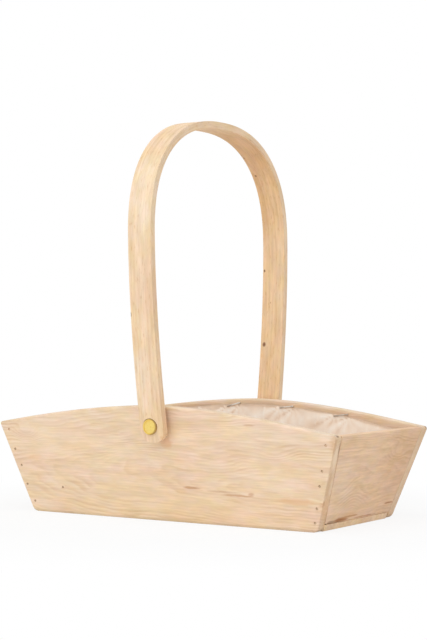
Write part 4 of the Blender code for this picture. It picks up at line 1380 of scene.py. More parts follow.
@dataclass
class BaseBoard:
    """The thin board between the side boards, under the end boards."""

    box: BoxPlan
    nails: NailPlan
    segments: int = 4

    def build(self) -> Piece:
        """The board as a piece."""
        plan = self.box
        ease = plan.edge_ease / plan.rim_round
        rings = []
        for z in (0.0, plan.base_board):
            x = plan.half_length(z) - plan.base_end_setback
            y = plan.inner_half_width(z) - plan.joint_gap
            rings.append([(x, -y, z), (x, y, z), (-x, y, z), (-x, -y, z)])
        piece = link_form("floor_board", prism(rings[0], rings[1], (ease, 0.0, ease, 0.0)))
        round_edges(piece, plan.rim_round, self.segments)
        places = [turn_about(far) @ place for far in (False, True) for place in self.nails.base_nails()]
        return finish_board(piece, self.nails.holes(places, self.nails.base_length), False)


# Handle and pivots

@dataclass
class BentHandle:
    """The strap bent to a hoop, with its pivot holes."""

    plan: HoopPlan
    segments: int = 5
    sharp_degrees: float = 30.0

    def hole(self, far_side: bool) -> Form:
        """Cutter of one leg's hole and the round flat for its cap."""
        plan = self.plan
        pivot = plan.pivot
        seat = pivot.cap_diameter / 2 + pivot.box.joint_gap
        hole = pivot.bolt_diameter / 2 + pivot.running_clearance
        flat = plan.outer_at_pivot - pivot.cap_seat_depth
        far = plan.outer_at_pivot + plan.lean * seat + CUT_OVERRUN
        near = plan.inner_at_pivot - plan.lean * seat - CUT_OVERRUN
        profile = [(0.0, -far), (seat, -far), (seat, -flat), (hole, -flat), (hole, -near), (0.0, -near)]
        return turned(profile, Matrix.Translation((0.0, 0.0, pivot.height)) @ turn_about(far_side))

    @property
    def lean(self) -> Matrix:
        """How the strap, bent upright over the middle, is leant over and set on its pivots."""
        pivot = self.plan.pivot
        back = Matrix.Translation((0.0, 0.0, -pivot.height))
        return pivot.place(False) @ Matrix.Rotation(-self.plan.leans, 4, "Y") @ back

    def strap(self) -> Form:
        """Rectangular section carried along the hoop, with the weights of its rounded edges."""
        plan = self.plan
        path = plan.full_path()
        bm = bmesh.new()
        layer = bm.edges.layers.float.new("bevel_weight_edge")
        rings = []
        for index, (y, z, wide) in enumerate(path):
            before = path[max(index - 1, 0)]
            after = path[min(index + 1, len(path) - 1)]
            run = Vector((after[0] - before[0], after[1] - before[1])).normalized()
            inward = Vector((run.y, -run.x)) * plan.strap_thickness
            inner = (y + inward.x, z + inward.y)
            left = plan.off_centre - wide
            right = plan.off_centre + wide
            corners = ((left, y, z), (right, y, z), (right, *inner), (left, *inner))
            rings.append([bm.verts.new(corner) for corner in corners])
        for low, high in zip(rings, rings[1:]):
            bridge(bm, low, high)
            for pair in zip(low, high):
                bm.edges.get(pair)[layer] = 1.0
        for ring in (rings[0], rings[-1]):
            bm.faces.new(ring if ring is rings[-1] else list(reversed(ring)))
            for index in (0, 2):
                bm.edges.get((ring[index], ring[index + 1]))[layer] = 1.0
        return bm

    def lay_grain(self, mesh: bpy.types.Mesh) -> None:
        """Store each point's place on the straight strap: along, across and out of its outer face."""
        path = np.array([(y, z) for y, z, _ in self.plan.full_path()])
        steps = np.linalg.norm(np.diff(path, axis=0), axis=1)
        length = np.concatenate(([0.0], np.cumsum(steps)))
        points = np.empty(len(mesh.vertices) * 3)
        mesh.vertices.foreach_get("co", points)
        points = points.reshape(-1, 3)
        along = np.zeros(len(points))
        depth = np.full(len(points), np.inf)
        for index, step in enumerate(steps):
            run = (path[index + 1] - path[index]) / step
            away = points[:, 1:] - path[index]
            share = np.clip(away @ run, 0.0, step)
            distance = np.linalg.norm(away - share[:, None] * run, axis=1)
            nearer = distance < depth
            depth = np.where(nearer, distance, depth)
            along = np.where(nearer, length[index] + share, along)
        places = np.column_stack((along, points[:, 0], -depth)).astype(np.float32)
        layer = mesh.attributes.new("strap_place", "FLOAT_VECTOR", "POINT")
        layer.data.foreach_set("vector", places.ravel())

    def build(self) -> Piece:
        """The handle as a piece."""
        piece = link_form("bent_handle", self.strap())
        round_edges(piece, self.plan.edge_round, self.segments)
        carve(piece, [self.hole(False)])
        carve(piece, [self.hole(True)])
        self.lay_grain(piece.data)
        piece.data.transform(self.lean)
        shade(piece, self.sharp_degrees)
        return piece


@dataclass
class Pivot:
    """Bolt with its domed cap, spacer, washer and lock nut of one leg."""

    wall: Wall
    plan: PivotPlan
    hoop: HoopPlan
    sides: int = 72
    dome_share: float = 0.84
    dome_rise_share: float = 0.62
    dome_power: float = 2.4
    dome_steps: int = 12
    bead_rise_share: float = 0.75
    bead_steps: int = 10
    spacer_ease: float = 0.0003
    washer_ease: float = 0.00015
    chamfer_share: float = 0.16
    chamfer_length_share: float = 0.14

    @property
    def turn(self) -> Matrix:
        """Place of the pivot's axis, turned half round at the back."""
        far = self.wall is Wall.BACK
        return turn_about(far) @ self.plan.place(far)

    def bolt(self) -> Piece:
        """Domed cap with a rolled rim, and a plain shank."""
        plan = self.plan
        gap = plan.box.joint_gap
        under = -(self.hoop.outer_at_pivot - plan.cap_seat_depth + gap)
        ease = plan.box.edge_ease
        end = -(plan.nut_outer - plan.nut_height - ease)
        cap = plan.cap_diameter / 2
        shank = plan.bolt_diameter / 2
        rim = under - plan.cap_rim
        dome = cap * self.dome_share
        bulge = (plan.cap_height - plan.cap_rim) * self.dome_rise_share
        profile = []
        for step in range(self.dome_steps + 1):
            share = step / self.dome_steps
            profile.append((dome * share, rim - bulge * (1.0 - share ** self.dome_power)))
        bead = (cap - dome) / 2
        rise = bead * self.bead_rise_share
        for step in range(1, self.bead_steps):
            angle = pi * step / self.bead_steps
            profile.append((dome + bead - bead * cos(angle), rim - rise * sin(angle)))
        profile += [(cap, rim), (cap, under), (shank, under)]
        profile += [(shank, end - ease), (shank - ease, end), (0.0, end)]
        piece = link_form(f"{self.wall.value}_cap_bolt", turned(profile, self.turn, self.sides))
        shade(piece)
        return piece

    def ring(self, name: str, radius_at: Callable[[float, float], float], near: Callable[[float], float],
             far: Callable[[float], float], levels: Sequence[float]) -> Piece:
        """Ring round the pivot's axis, with the bolt's hole.

        Args:
            name: The piece's name after its side.
            radius_at: Outer radius at an angle and at a share of the ring's length.
            near: Distance of its inner end from the middle plane, at a height.
            far: Distance of its outer end, at a height.
            levels: Shares of its length at which its outside has an edge.

        Returns:
            The piece.
        """
        bm = bmesh.new()
        loops = []
        bore = self.plan.bolt_diameter / 2 + self.plan.box.joint_gap
        stations = [(0.0, True)] + [(level, False) for level in levels] + [(1.0, True)]
        for level, inside in stations:
            loop = []
            for step in range(self.sides):
                angle = tau * step / self.sides
                radius = bore if inside else radius_at(angle, level)
                x = radius * cos(angle)
                z = radius * sin(angle)
                height = self.plan.height + z
                y = near(height) + (far(height) - near(height)) * level
                loop.append(bm.verts.new((x, -y, z)))
            loops.append(loop)
        for loop, following in zip(loops, loops[1:] + loops[:1]):
            bridge(bm, loop, following)
        bmesh.ops.transform(bm, matrix=self.turn, verts=bm.verts)
        piece = link_form(f"{self.wall.value}_{name}", bm)
        shade(piece)
        return piece

    def eased(self, diameter: float, ease: float) -> Callable[[float, float], float]:
        """Outer radius of a round ring with both edges eased."""
        return lambda angle, level: diameter / 2 - (ease if level in (0.0, 1.0) else 0.0)

    def spacer(self) -> Piece:
        """Turned wooden spacer, its inner end cut to the board's splay."""
        plan = self.plan
        return self.ring("wood_spacer", self.eased(plan.spacer_diameter, self.spacer_ease),
                         lambda z: plan.box.half_width(z) + plan.box.joint_gap,
                         lambda z: plan.spacer_face, (0.0, 0.1, 0.9, 1.0))

    def washer(self) -> Piece:
        """Flat washer under the nut, its edges rounded by the punch."""
        plan = self.plan
        outer = plan.nut_floor - plan.box.joint_gap
        return self.ring("flat_washer", self.eased(plan.washer_diameter, self.washer_ease),
                         lambda z: outer - plan.washer_thickness, lambda z: outer, (0.0, 0.2, 0.8, 1.0))

    def nut(self) -> Piece:
        """Hexagon nut with chamfered corners."""
        plan = self.plan

        def outside(angle: float, level: float) -> float:
            """Radius of the hexagon, cut back by the chamfer near both faces."""
            sector = tau / 6
            flat = plan.nut_across_flats / 2
            corner = flat / cos(angle % sector - sector / 2)
            inward = min(min(level, 1.0 - level) / self.chamfer_length_share, 1.0)
            return min(corner, flat * (1.0 + self.chamfer_share * inward))

        return self.ring("hex_nut", outside, lambda z: plan.nut_outer - plan.nut_height,
                         lambda z: plan.nut_outer, (0.0, 0.05, 0.1, 0.14, 0.86, 0.9, 0.95, 1.0))


# Liner

# A length down the leaning wall over its height, how early the creases end below the film's edge, and
# where the walls' and the floor's creases are drawn
SLOPE_OVER_HEIGHT = 1.03
EDGE_EARLY = 1.02
WALL_SPACING = 0.13
FLOOR_CREASES_AT = 0.31

# Weight, repeats per metre and place of each size of creases
CRUMPLES: tuple[tuple[float, float, Point], ...] = (
    (2.2, 55.0, (0.0, 0.0, 0.0)),
    (1.2, 130.0, (3.1, 1.7, 9.2)),
    (0.5, 290.0, (7.7, 4.1, 2.3)),
)


def beyond(value: float, start: float) -> float:
    """How far a value goes past a start, as a share of the way from there to 1."""
    return max(value - start, 0.0) / (1.0 - start)


@dataclass
class Liner:
    """Film folded into a tub inside the box and stapled under the rim, with pleats and wrinkles."""

    box: BoxPlan
    staples: StaplePlan
    below_rim: float = 0.0041
    corner_radius: float = 0.006
    foot_radius: float = 0.005
    pleat_depth: float = 0.003
    thickness: float = 0.0002
    stand: float = 0.0004
    side_columns: int = 200
    end_columns: int = 84
    corner_columns: int = 6
    wall_rows: int = 40
    floor_rows: int = 36
    row_power: float = 0.85
    flat: tuple[float, float] = (0.264, 0.372)
    # How far the film stands off the wall at most, and how little and how near where a staple holds it
    furthest: float = 0.0036
    held_share: float = 0.08
    held_aside: float = 0.004
    held_below: float = 0.008
    # The pleats between the staples, and the wrinkles that fan out below a staple's ends
    pleat_power: float = 1.6
    ripples: int = 3
    ripple_share: float = 0.45
    fan_top: float = -0.001
    fan_reach: float = 0.045
    fan_start: float = 0.004
    fan_fade: float = 0.018
    fan_height: float = 0.0012
    fan_folds: float = 9.0
    fan_shift: tuple[float, float] = (1.7, 0.9)
    fold_lean: float = 0.9
    fold_spread: float = 0.55
    fold_least: float = 0.25
    # The folds by the corners, and the fine creases all over
    corner_fold: float = 0.0012
    corner_fold_width: float = 0.006
    crumple_height: float = 0.0005
    floor_crumple: float = 0.0012
    floor_rise_share: float = 1 / 6
    # What the material is told: -0.5 for the painted shade under the film's top edge, below 0 for painted
    # shade in fold valleys, and up to 1 on creases and on painted highlights along fold crests
    crease_from: float = 0.5
    floor_crease_from: float = 0.45
    floor_crease_share: float = 0.6
    edge_shade_height: float = 0.0016
    edge_shade_crease: float = -0.5
    crumple_crease: float = 0.4
    # Painted highlight on fold crests and painted shade in fold valleys
    crest_crease: float = 0.8
    valley_crease: float = 0.4

    def half_length(self, z: float) -> float:
        """Half the tub's length at a height, before any fold."""
        return self.box.inner_half_length(z) - self.box.joint_gap

    def half_width(self, z: float) -> float:
        """Half the tub's width at a height, before any fold."""
        return self.box.inner_half_width(z) - self.box.joint_gap

    def top(self, x: float) -> float:
        """Height of the film's top edge."""
        reach = self.half_length(self.box.corner_height - self.below_rim)
        return self.box.rim_height(x * self.box.rim_length / 2 / reach) - self.below_rim

    def pleat(self, place: float, reach: float, offsets: Sequence[float]) -> float:
        """How far the film's edge stands off the wall: nothing under a staple, pleats between."""
        stops = [-reach]
        for offset in offsets:
            stops += [offset - self.staples.crown / 2, offset + self.staples.crown / 2]
        stops.append(reach)
        for low, high in zip(stops[0::2], stops[1::2]):
            if low < place < high:
                share = (place - low) / (high - low)
                ripple = 1.0 - self.ripple_share * (1.0 - cos(tau * self.ripples * share)) / 2
                return self.pleat_depth * sin(pi * share) ** 2 * ripple
        return 0.0

    def fan(self, place: float, down: float, offsets: Sequence[float]) -> tuple[float, float]:
        """Height of the wrinkles that fan out below the ends of the staples, and how far a point lies on a
        crest or in a valley, which the film's colour shows as painted highlight and painted shade.
        """
        rise = 0.0
        crest = 0.0
        below = down - self.staples.below_rim + self.below_rim
        by_number, by_side = self.fan_shift
        for number, offset in enumerate(offsets):
            for side in (-1, 1):
                sideways = place - offset - side * self.staples.crown / 2
                reach = hypot(sideways, below)
                if below < self.fan_top or reach > self.fan_reach:
                    continue
                angle = atan2(sideways, max(below, 0.0))
                aside = exp(-((angle - self.fold_lean) / self.fold_spread) ** 2)
                aside = self.fold_least + (1.0 - self.fold_least) * aside
                swing = cos(self.fan_folds * angle + by_number * number + by_side * side)
                fade = aside * exp(-reach / self.fan_fade) * min(reach / self.fan_start, 1.0)
                rise += fade * (0.5 + 0.5 * swing)
                crest += fade * swing
        return rise, crest

    def crumple(self, point: Vector) -> float:
        """Sharp creases of handled film, from 0 to about 1."""
        total = 0.0
        for weight, scale, shift in CRUMPLES:
            total += weight * abs(noise.noise(point * scale + Vector(shift)))
        return 1.0 - min(total, 1.0)

    def columns(self) -> list[Station]:
        """Columns round half the tub's wall, as (direction facing out, share along X, share along Y)."""
        quarter = pi / 2
        sides = range(self.side_columns + 1)
        corner = range(1, self.corner_columns)
        ends = range(self.end_columns + 1)
        made = [(-quarter, 2 * step / self.side_columns - 1, 0.0) for step in sides]
        made += [(-quarter + quarter * step / self.corner_columns, 1.0, -1.0) for step in corner]
        made += [(0.0, 1.0, 2 * step / self.end_columns - 1) for step in ends]
        made += [(quarter * step / self.corner_columns, 1.0, 1.0) for step in corner]
        return made

    def wall_point(self, column: Station, row: float, turn: int) -> tuple[Vector, float]:
        """A point of the tub's wall.

        Args:
            column: Direction facing out and the shares along and across.
            row: Share of the wall's height, from the foot up.
            turn: 1 for the front and right walls, -1 for the back and left ones.

        Returns:
            The point, and how creased the film is there, with the painted light and shade of its folds and of
            its top edge.
        """
        facing, along, across = column
        radius = self.corner_radius
        side_reach = self.half_length(self.box.corner_height) - radius
        end_reach = self.half_width(self.box.corner_height) - radius
        height = self.top(along * side_reach + radius * cos(facing))
        floor = self.box.base_board + self.box.joint_gap + self.stand
        z = floor + (height - floor) * row
        on_side = facing == -pi / 2
        on_end = facing == 0.0
        place = along * side_reach if on_side else across * end_reach
        offsets = self.staples.side_offsets() if on_side else self.staples.end_offsets()
        reach = side_reach if on_side else end_reach
        down = (height - z) * SLOPE_OVER_HEIGHT
        spot = Vector((along * turn, across * turn, 0.0)) * WALL_SPACING + Vector((place * turn, facing, z))
        creased = self.crumple(spot + Vector((turn, 0.0, 0.0)))
        stand = self.stand
        crest = 0.0
        if on_side or on_end:
            ray, crest = self.fan(place, down, offsets)
            near = min(abs(place - offset) for offset in offsets)
            aside = max(near - self.staples.crown / 2, 0.0)
            held = exp(-(aside / self.held_aside) ** 2) * exp(-(down / self.held_below) ** 2)
            loose = 1.0 - held
            fold = exp(-((reach - abs(place)) / self.corner_fold_width) ** 2)
            stand += self.pleat(place, reach, offsets) * row ** self.pleat_power
            stand += self.fan_height * ray
            stand += self.crumple_height * creased * loose * sin(pi * min(row * EDGE_EARLY, 1.0)) ** 0.5
            stand += self.corner_fold * fold * row
            free = self.held_share + (1.0 - self.held_share) * loose
            stand = self.stand + (min(stand, self.furthest) - self.stand) * free
        else:
            stand += self.crumple_height * creased
        foot = max(1.0 - (z - floor) / self.foot_radius, 0.0)
        stand += self.foot_radius * (1.0 - sqrt(max(1.0 - foot ** 2, 0.0)))
        x = along * (self.half_length(z) - radius) + cos(facing) * (radius - stand)
        if on_side:
            y = -self.half_width(z) + stand
        else:
            y = across * (self.half_width(z) - radius) + sin(facing) * (radius - stand)
        folded = self.crumple_crease * beyond(creased, self.crease_from)
        # Painted highlight on fold crests, painted shade in fold valleys
        folded += self.crest_crease * max(crest, 0.0) - self.valley_crease * max(-crest, 0.0)
        # Painted shade under the film's top edge
        folded += self.edge_shade_crease * exp(-(down / self.edge_shade_height) ** 2)
        return Vector((x * turn, y * turn, z)), folded

    def build(self) -> Piece:
        """The film as a piece, with its creases and its painted light and shade stored for the material."""
        bm = bmesh.new()
        layer = bm.verts.layers.float.new("crease_and_painted_light")
        columns = [(column, turn) for turn in (1, -1) for column in self.columns()]
        rings = []
        for row in range(self.wall_rows + 1):
            share = (row / self.wall_rows) ** self.row_power
            ring = []
            for column, turn in columns:
                point, creased = self.wall_point(column, share, turn)
                vert = bm.verts.new(point)
                vert[layer] = min(max(creased, self.edge_shade_crease), 1.0)
                ring.append(vert)
            rings.append(ring)
        foot = [vert.co.copy() for vert in rings[0]]
        floor_rings = []
        for row in range(1, self.floor_rows):
            share = 1.0 - row / self.floor_rows
            ring = []
            for start in foot:
                point = Vector((start.x * share, start.y * share, start.z))
                creased = self.crumple(Vector((point.x, point.y, FLOOR_CREASES_AT)))
                inward = min((1.0 - share) / self.floor_rise_share, 0.5)
                point.z += self.floor_crumple * creased * sin(pi * inward)
                vert = bm.verts.new(point)
                vert[layer] = self.floor_crease_share * beyond(creased, self.floor_crease_from)
                ring.append(vert)
            floor_rings.append(ring)
        order = list(reversed(floor_rings)) + rings
        for low, high in zip(order, order[1:]):
            bridge(bm, low, high)
        middle = bm.verts.new((0.0, 0.0, foot[0].z))
        centre = order[0]
        for index in range(len(centre)):
            bm.faces.new((middle, centre[(index + 1) % len(centre)], centre[index]))
        bmesh.ops.remove_doubles(bm, verts=bm.verts, dist=WELD_REACH)
        piece = link_form("film_liner", bm)
        thicken = piece.modifiers.new("film thickness", "SOLIDIFY")
        thicken.thickness = self.thickness
        thicken.offset = 0.0
        settle(piece)
        piece.data.shade_smooth()
        return piece


# Studio

WHITE: Colour = (1.0, 1.0, 1.0)


@dataclass
class Studio:
    """Camera at the photograph's place, soft lamps, a white surround and a pale floor."""

    focal_pixels: float = 1718.0
    image_height: float = 640.0
    sensor: float = 36.0
    place: Point = (0.7082, -1.1475, 0.1498)
    yaw: float = radians(31.65)
    pitch: float = radians(0.1)
    roll: float = radians(0.43)
    aimed_at: Point = (0.0, 0.0, 0.1)
    lamps: tuple[tuple[str, Point, float, float], ...] = (
        ("key", (0.25, -2.15, 0.6), 2.3, 17.0),
        ("top", (0.3, -0.75, 2.1), 1.8, 13.5),
        ("fill", (2.1, -0.1, 0.25), 1.4, 1.6),
    )
    surround_strength: float = 0.62
    floor_size: float = 6.0
    paper_tones: tuple[float, float] = (0.9, 0.92)
    shadow_reach: tuple[float, float] = (0.16, 0.34)
    whiteness_near: float = 0.86

    def camera(self) -> None:
        """Stand the camera where the photograph was taken from."""
        level = Vector((cos(self.yaw), sin(self.yaw), 0.0))
        ahead = Vector((-sin(self.yaw), cos(self.yaw), 0.0))
        forward = ahead * cos(self.pitch) + Vector((0.0, 0.0, sin(self.pitch)))
        upward = level.cross(forward)
        right = level * cos(self.roll) + upward * sin(self.roll)
        top = upward * cos(self.roll) - level * sin(self.roll)
        data = bpy.data.cameras.new("camera")
        data.sensor_fit = "VERTICAL"
        data.sensor_height = self.sensor
        data.lens = self.focal_pixels * self.sensor / self.image_height
        data.clip_start = 0.01
        made = bpy.data.objects.new("camera", data)
        matrix = Matrix((right, top, -forward)).transposed().to_4x4()
        matrix.translation = Vector(self.place)
        made.matrix_world = matrix
        bpy.context.scene.collection.objects.link(made)
        bpy.context.scene.camera = made

    def lamp(self, name: str, place: Point, size: float, watts: float) -> None:
        """Square soft lamp that faces the trug."""
        data = bpy.data.lights.new(name, "AREA")
        data.size = size
        data.energy = watts
        made = bpy.data.objects.new(name, data)
        made.location = place
        made.rotation_euler = (Vector(self.aimed_at) - Vector(place)).to_track_quat("-Z", "Y").to_euler()
        made.visible_glossy = False
        bpy.context.scene.collection.objects.link(made)

    def seen(self, w: Wiring) -> Socket:
        """1 for rays that should see the white background, else 0."""
        path = w.add("ShaderNodeLightPath").outputs
        direct = w.calc("MAXIMUM", path["Is Camera Ray"], path["Is Glossy Ray"])
        return w.calc("MAXIMUM", direct, path["Is Transmission Ray"])

    def surround(self) -> None:
        """White surround that lights the trug at a lower level than it shows."""
        world = bpy.data.worlds.new("surround")
        world.use_nodes = True
        w = Wiring(world.node_tree)
        background = world.node_tree.nodes["Background"]
        background.inputs["Color"].default_value = opaque(WHITE)
        strength = w.ease(self.seen(w), 0.0, 1.0, self.surround_strength, 1.0)
        w.feed(background.inputs["Strength"], strength)
        bpy.context.scene.world = world

    def floor(self) -> None:
        """Pale floor that keeps a faint shadow near the trug and is white further off."""
        bm = bmesh.new()
        bmesh.ops.create_grid(bm, x_segments=1, y_segments=1, size=self.floor_size)
        piece = link_form("floor", bm)
        made, w, shader = blank_material("floor_paper")
        made.node_tree.nodes.remove(shader)
        place = w.here()
        mottled = w.ease(w.cloud(place, 30.0), 0.3, 0.7, *self.paper_tones)
        paper = w.add("ShaderNodeBsdfDiffuse", {"Color": w.join(mottled, mottled, mottled)}).outputs[0]
        white = w.add("ShaderNodeEmission", {"Color": opaque(WHITE), "Strength": 1.0}).outputs[0]
        far = w.ease(w.length(place), *self.shadow_reach, self.whiteness_near, 1.0)
        share = w.times(self.seen(w), far)
        mixed = w.add("ShaderNodeMixShader", {0: share, 1: paper, 2: white}).outputs[0]
        w.feed(made.node_tree.nodes["Material Output"].inputs["Surface"], mixed)
        piece.data.materials.append(made)

    def build(self) -> None:
        """Set up everything that isn't the trug."""
        bpy.context.scene.view_settings.view_transform = "Standard"
        self.camera()
        self.surround()
        for lamp in self.lamps:
            self.lamp(*lamp)
        self.floor()


# The whole trug

def side_marks() -> tuple[Mark, ...]:
    """Marks of the front board, along it and up its face."""
    return (
        Mark(KNOT, -0.0957, 0.0213, 0.0013, 0.0012, 0.85),
        Mark(STREAK, 0.0245, 0.0277, 0.011, 0.0013, 0.62),
        Mark(STREAK, 0.048, 0.0262, 0.02, 0.0009, 0.32),
        Mark(STREAK, 0.062, 0.024, 0.017, 0.0012, 0.55),
        Mark(STREAK, 0.0752, 0.0256, 0.0036, 0.0018, 0.45),
        Mark(STREAK, 0.08, 0.078, 0.0075, 0.0011, 0.4),
        Mark(SWIRL, -0.1241, 0.0639, 0.011, 0.0065, 0.1),
        Mark(SWIRL, 0.05, 0.047, 0.03, 0.013, 0.05, push=0.45),
        Mark(SWIRL, 0.095, 0.057, 0.02, 0.01, 0.05, push=0.5),
        Mark(SWIRL, -0.03, 0.048, 0.026, 0.011, 0.04, push=-0.4),
        Mark(WARM, -0.1193, 0.0445, 0.011, 0.0035, 0.35),
        Mark(YELLOW, 0.0407, 0.0646, 0.013, 0.005, 0.2),
        Mark(WARM, 0.113, 0.0224, 0.02, 0.0036, 0.55),
        Mark(WARM, 0.109, 0.049, 0.011, 0.006, 0.25),
        Mark(WARM, 0.02, 0.05, 0.01, 0.008, 0.18),
        Mark(SHADE, 0.13, 0.008, 0.009, 0.013, 0.65, -0.0088, 0.0034),
        Mark(WARM, 0.132, 0.02, 0.009, 0.013, 0.6, -0.005, 0.006),
        Mark(STREAK, 0.1338, 0.021, 0.006, 0.0042, 0.45, -0.0012, 0.0018),
        Mark(SHADE, 0.138, 0.0355, 0.008, 0.016, 0.5, -0.003, 0.0042),
        Mark(PALE, 0.145, 0.0555, 0.008, 0.012, 0.95, -0.0052, 0.0036),
        Mark(SHADE, 0.148, 0.0655, 0.006, 0.011, 0.6, -0.0012, 0.0026),
        Mark(KNOT, 0.147, 0.0605, 0.006, 0.009, 0.75, -0.0082, 0.001, 0.0),
        Mark(KNOT, 0.1435, 0.051, 0.006, 0.008, 0.4, -0.009, 0.0008, 0.0),
        Mark(KNOT, 0.149, 0.0714, 0.0045, 0.0015, 0.75, -0.0052, 0.003, 0.0),
        # The next two marks are the strap's painted shadow on the board: a warm patch round its lower end and
        # a thin dark line beside it
        Mark(WARM, 0.0065, 0.0618, 0.0065, 0.006, 0.6),
        Mark(STREAK, 0.0081, 0.076, 0.0011, 0.01, 0.3),
        Mark(YELLOW, 0.0, 0.012, 0.14, 0.023, 0.14),
        Mark(PALE, -0.1, 0.062, 0.06, 0.03, 0.18),
    )


def back_marks() -> tuple[Mark, ...]:
    """Marks of the back board, along it and up its face; they lie on its right end."""
    return (
        Mark(KNOT, -0.15, 0.0715, 0.004, 0.0032, 0.8, -0.0008, 0.003, 0.0),
        # Painted shade: a dark band along the cut end by the outer face, on the shadow side of its rounded
        # arris
        Mark(STREAK, -0.138, 0.035, 0.025, 0.048, 0.45, -0.0004, 0.0016),
        Mark(SHADE, -0.147, 0.062, 0.012, 0.014, 0.35, -0.004, 0.007),
    )


def end_marks() -> tuple[Mark, ...]:
    """Marks of the right end board, along it and up its face."""
    return (
        Mark(STREAK, 0.046, 0.0137, 0.009, 0.0011, 0.8),
        Mark(STREAK, 0.01, 0.0064, 0.025, 0.0008, 0.65),
        Mark(SWIRL, -0.018, 0.006, 0.02, 0.026, 0.06, push=0.4),
        Mark(SWIRL, 0.033, 0.056, 0.015, 0.007, 0.1, push=0.6),
        # The next three marks are painted shade in the gap under the planed foot
        Mark(GAP_SHADE, -0.029, 0.0071, 0.015, 0.0026, 1.0),
        Mark(GAP_SHADE, -0.015, 0.0086, 0.016, 0.001, 0.8),
        Mark(KNOT, -0.044, 0.0068, 0.008, 0.0012, 0.6, push=0.0),
        Mark(WARM, -0.018, 0.0095, 0.02, 0.0032, 0.45),
        # Painted light and painted shade: a pale wash at the lower left and a darker one at the upper right
        # make the face brighter towards its lower left
        Mark(CREAM, -0.048, 0.02, 0.035, 0.04, 0.45),
        Mark(DEEP, 0.056, 0.05, 0.06, 0.06, 0.65),
    )


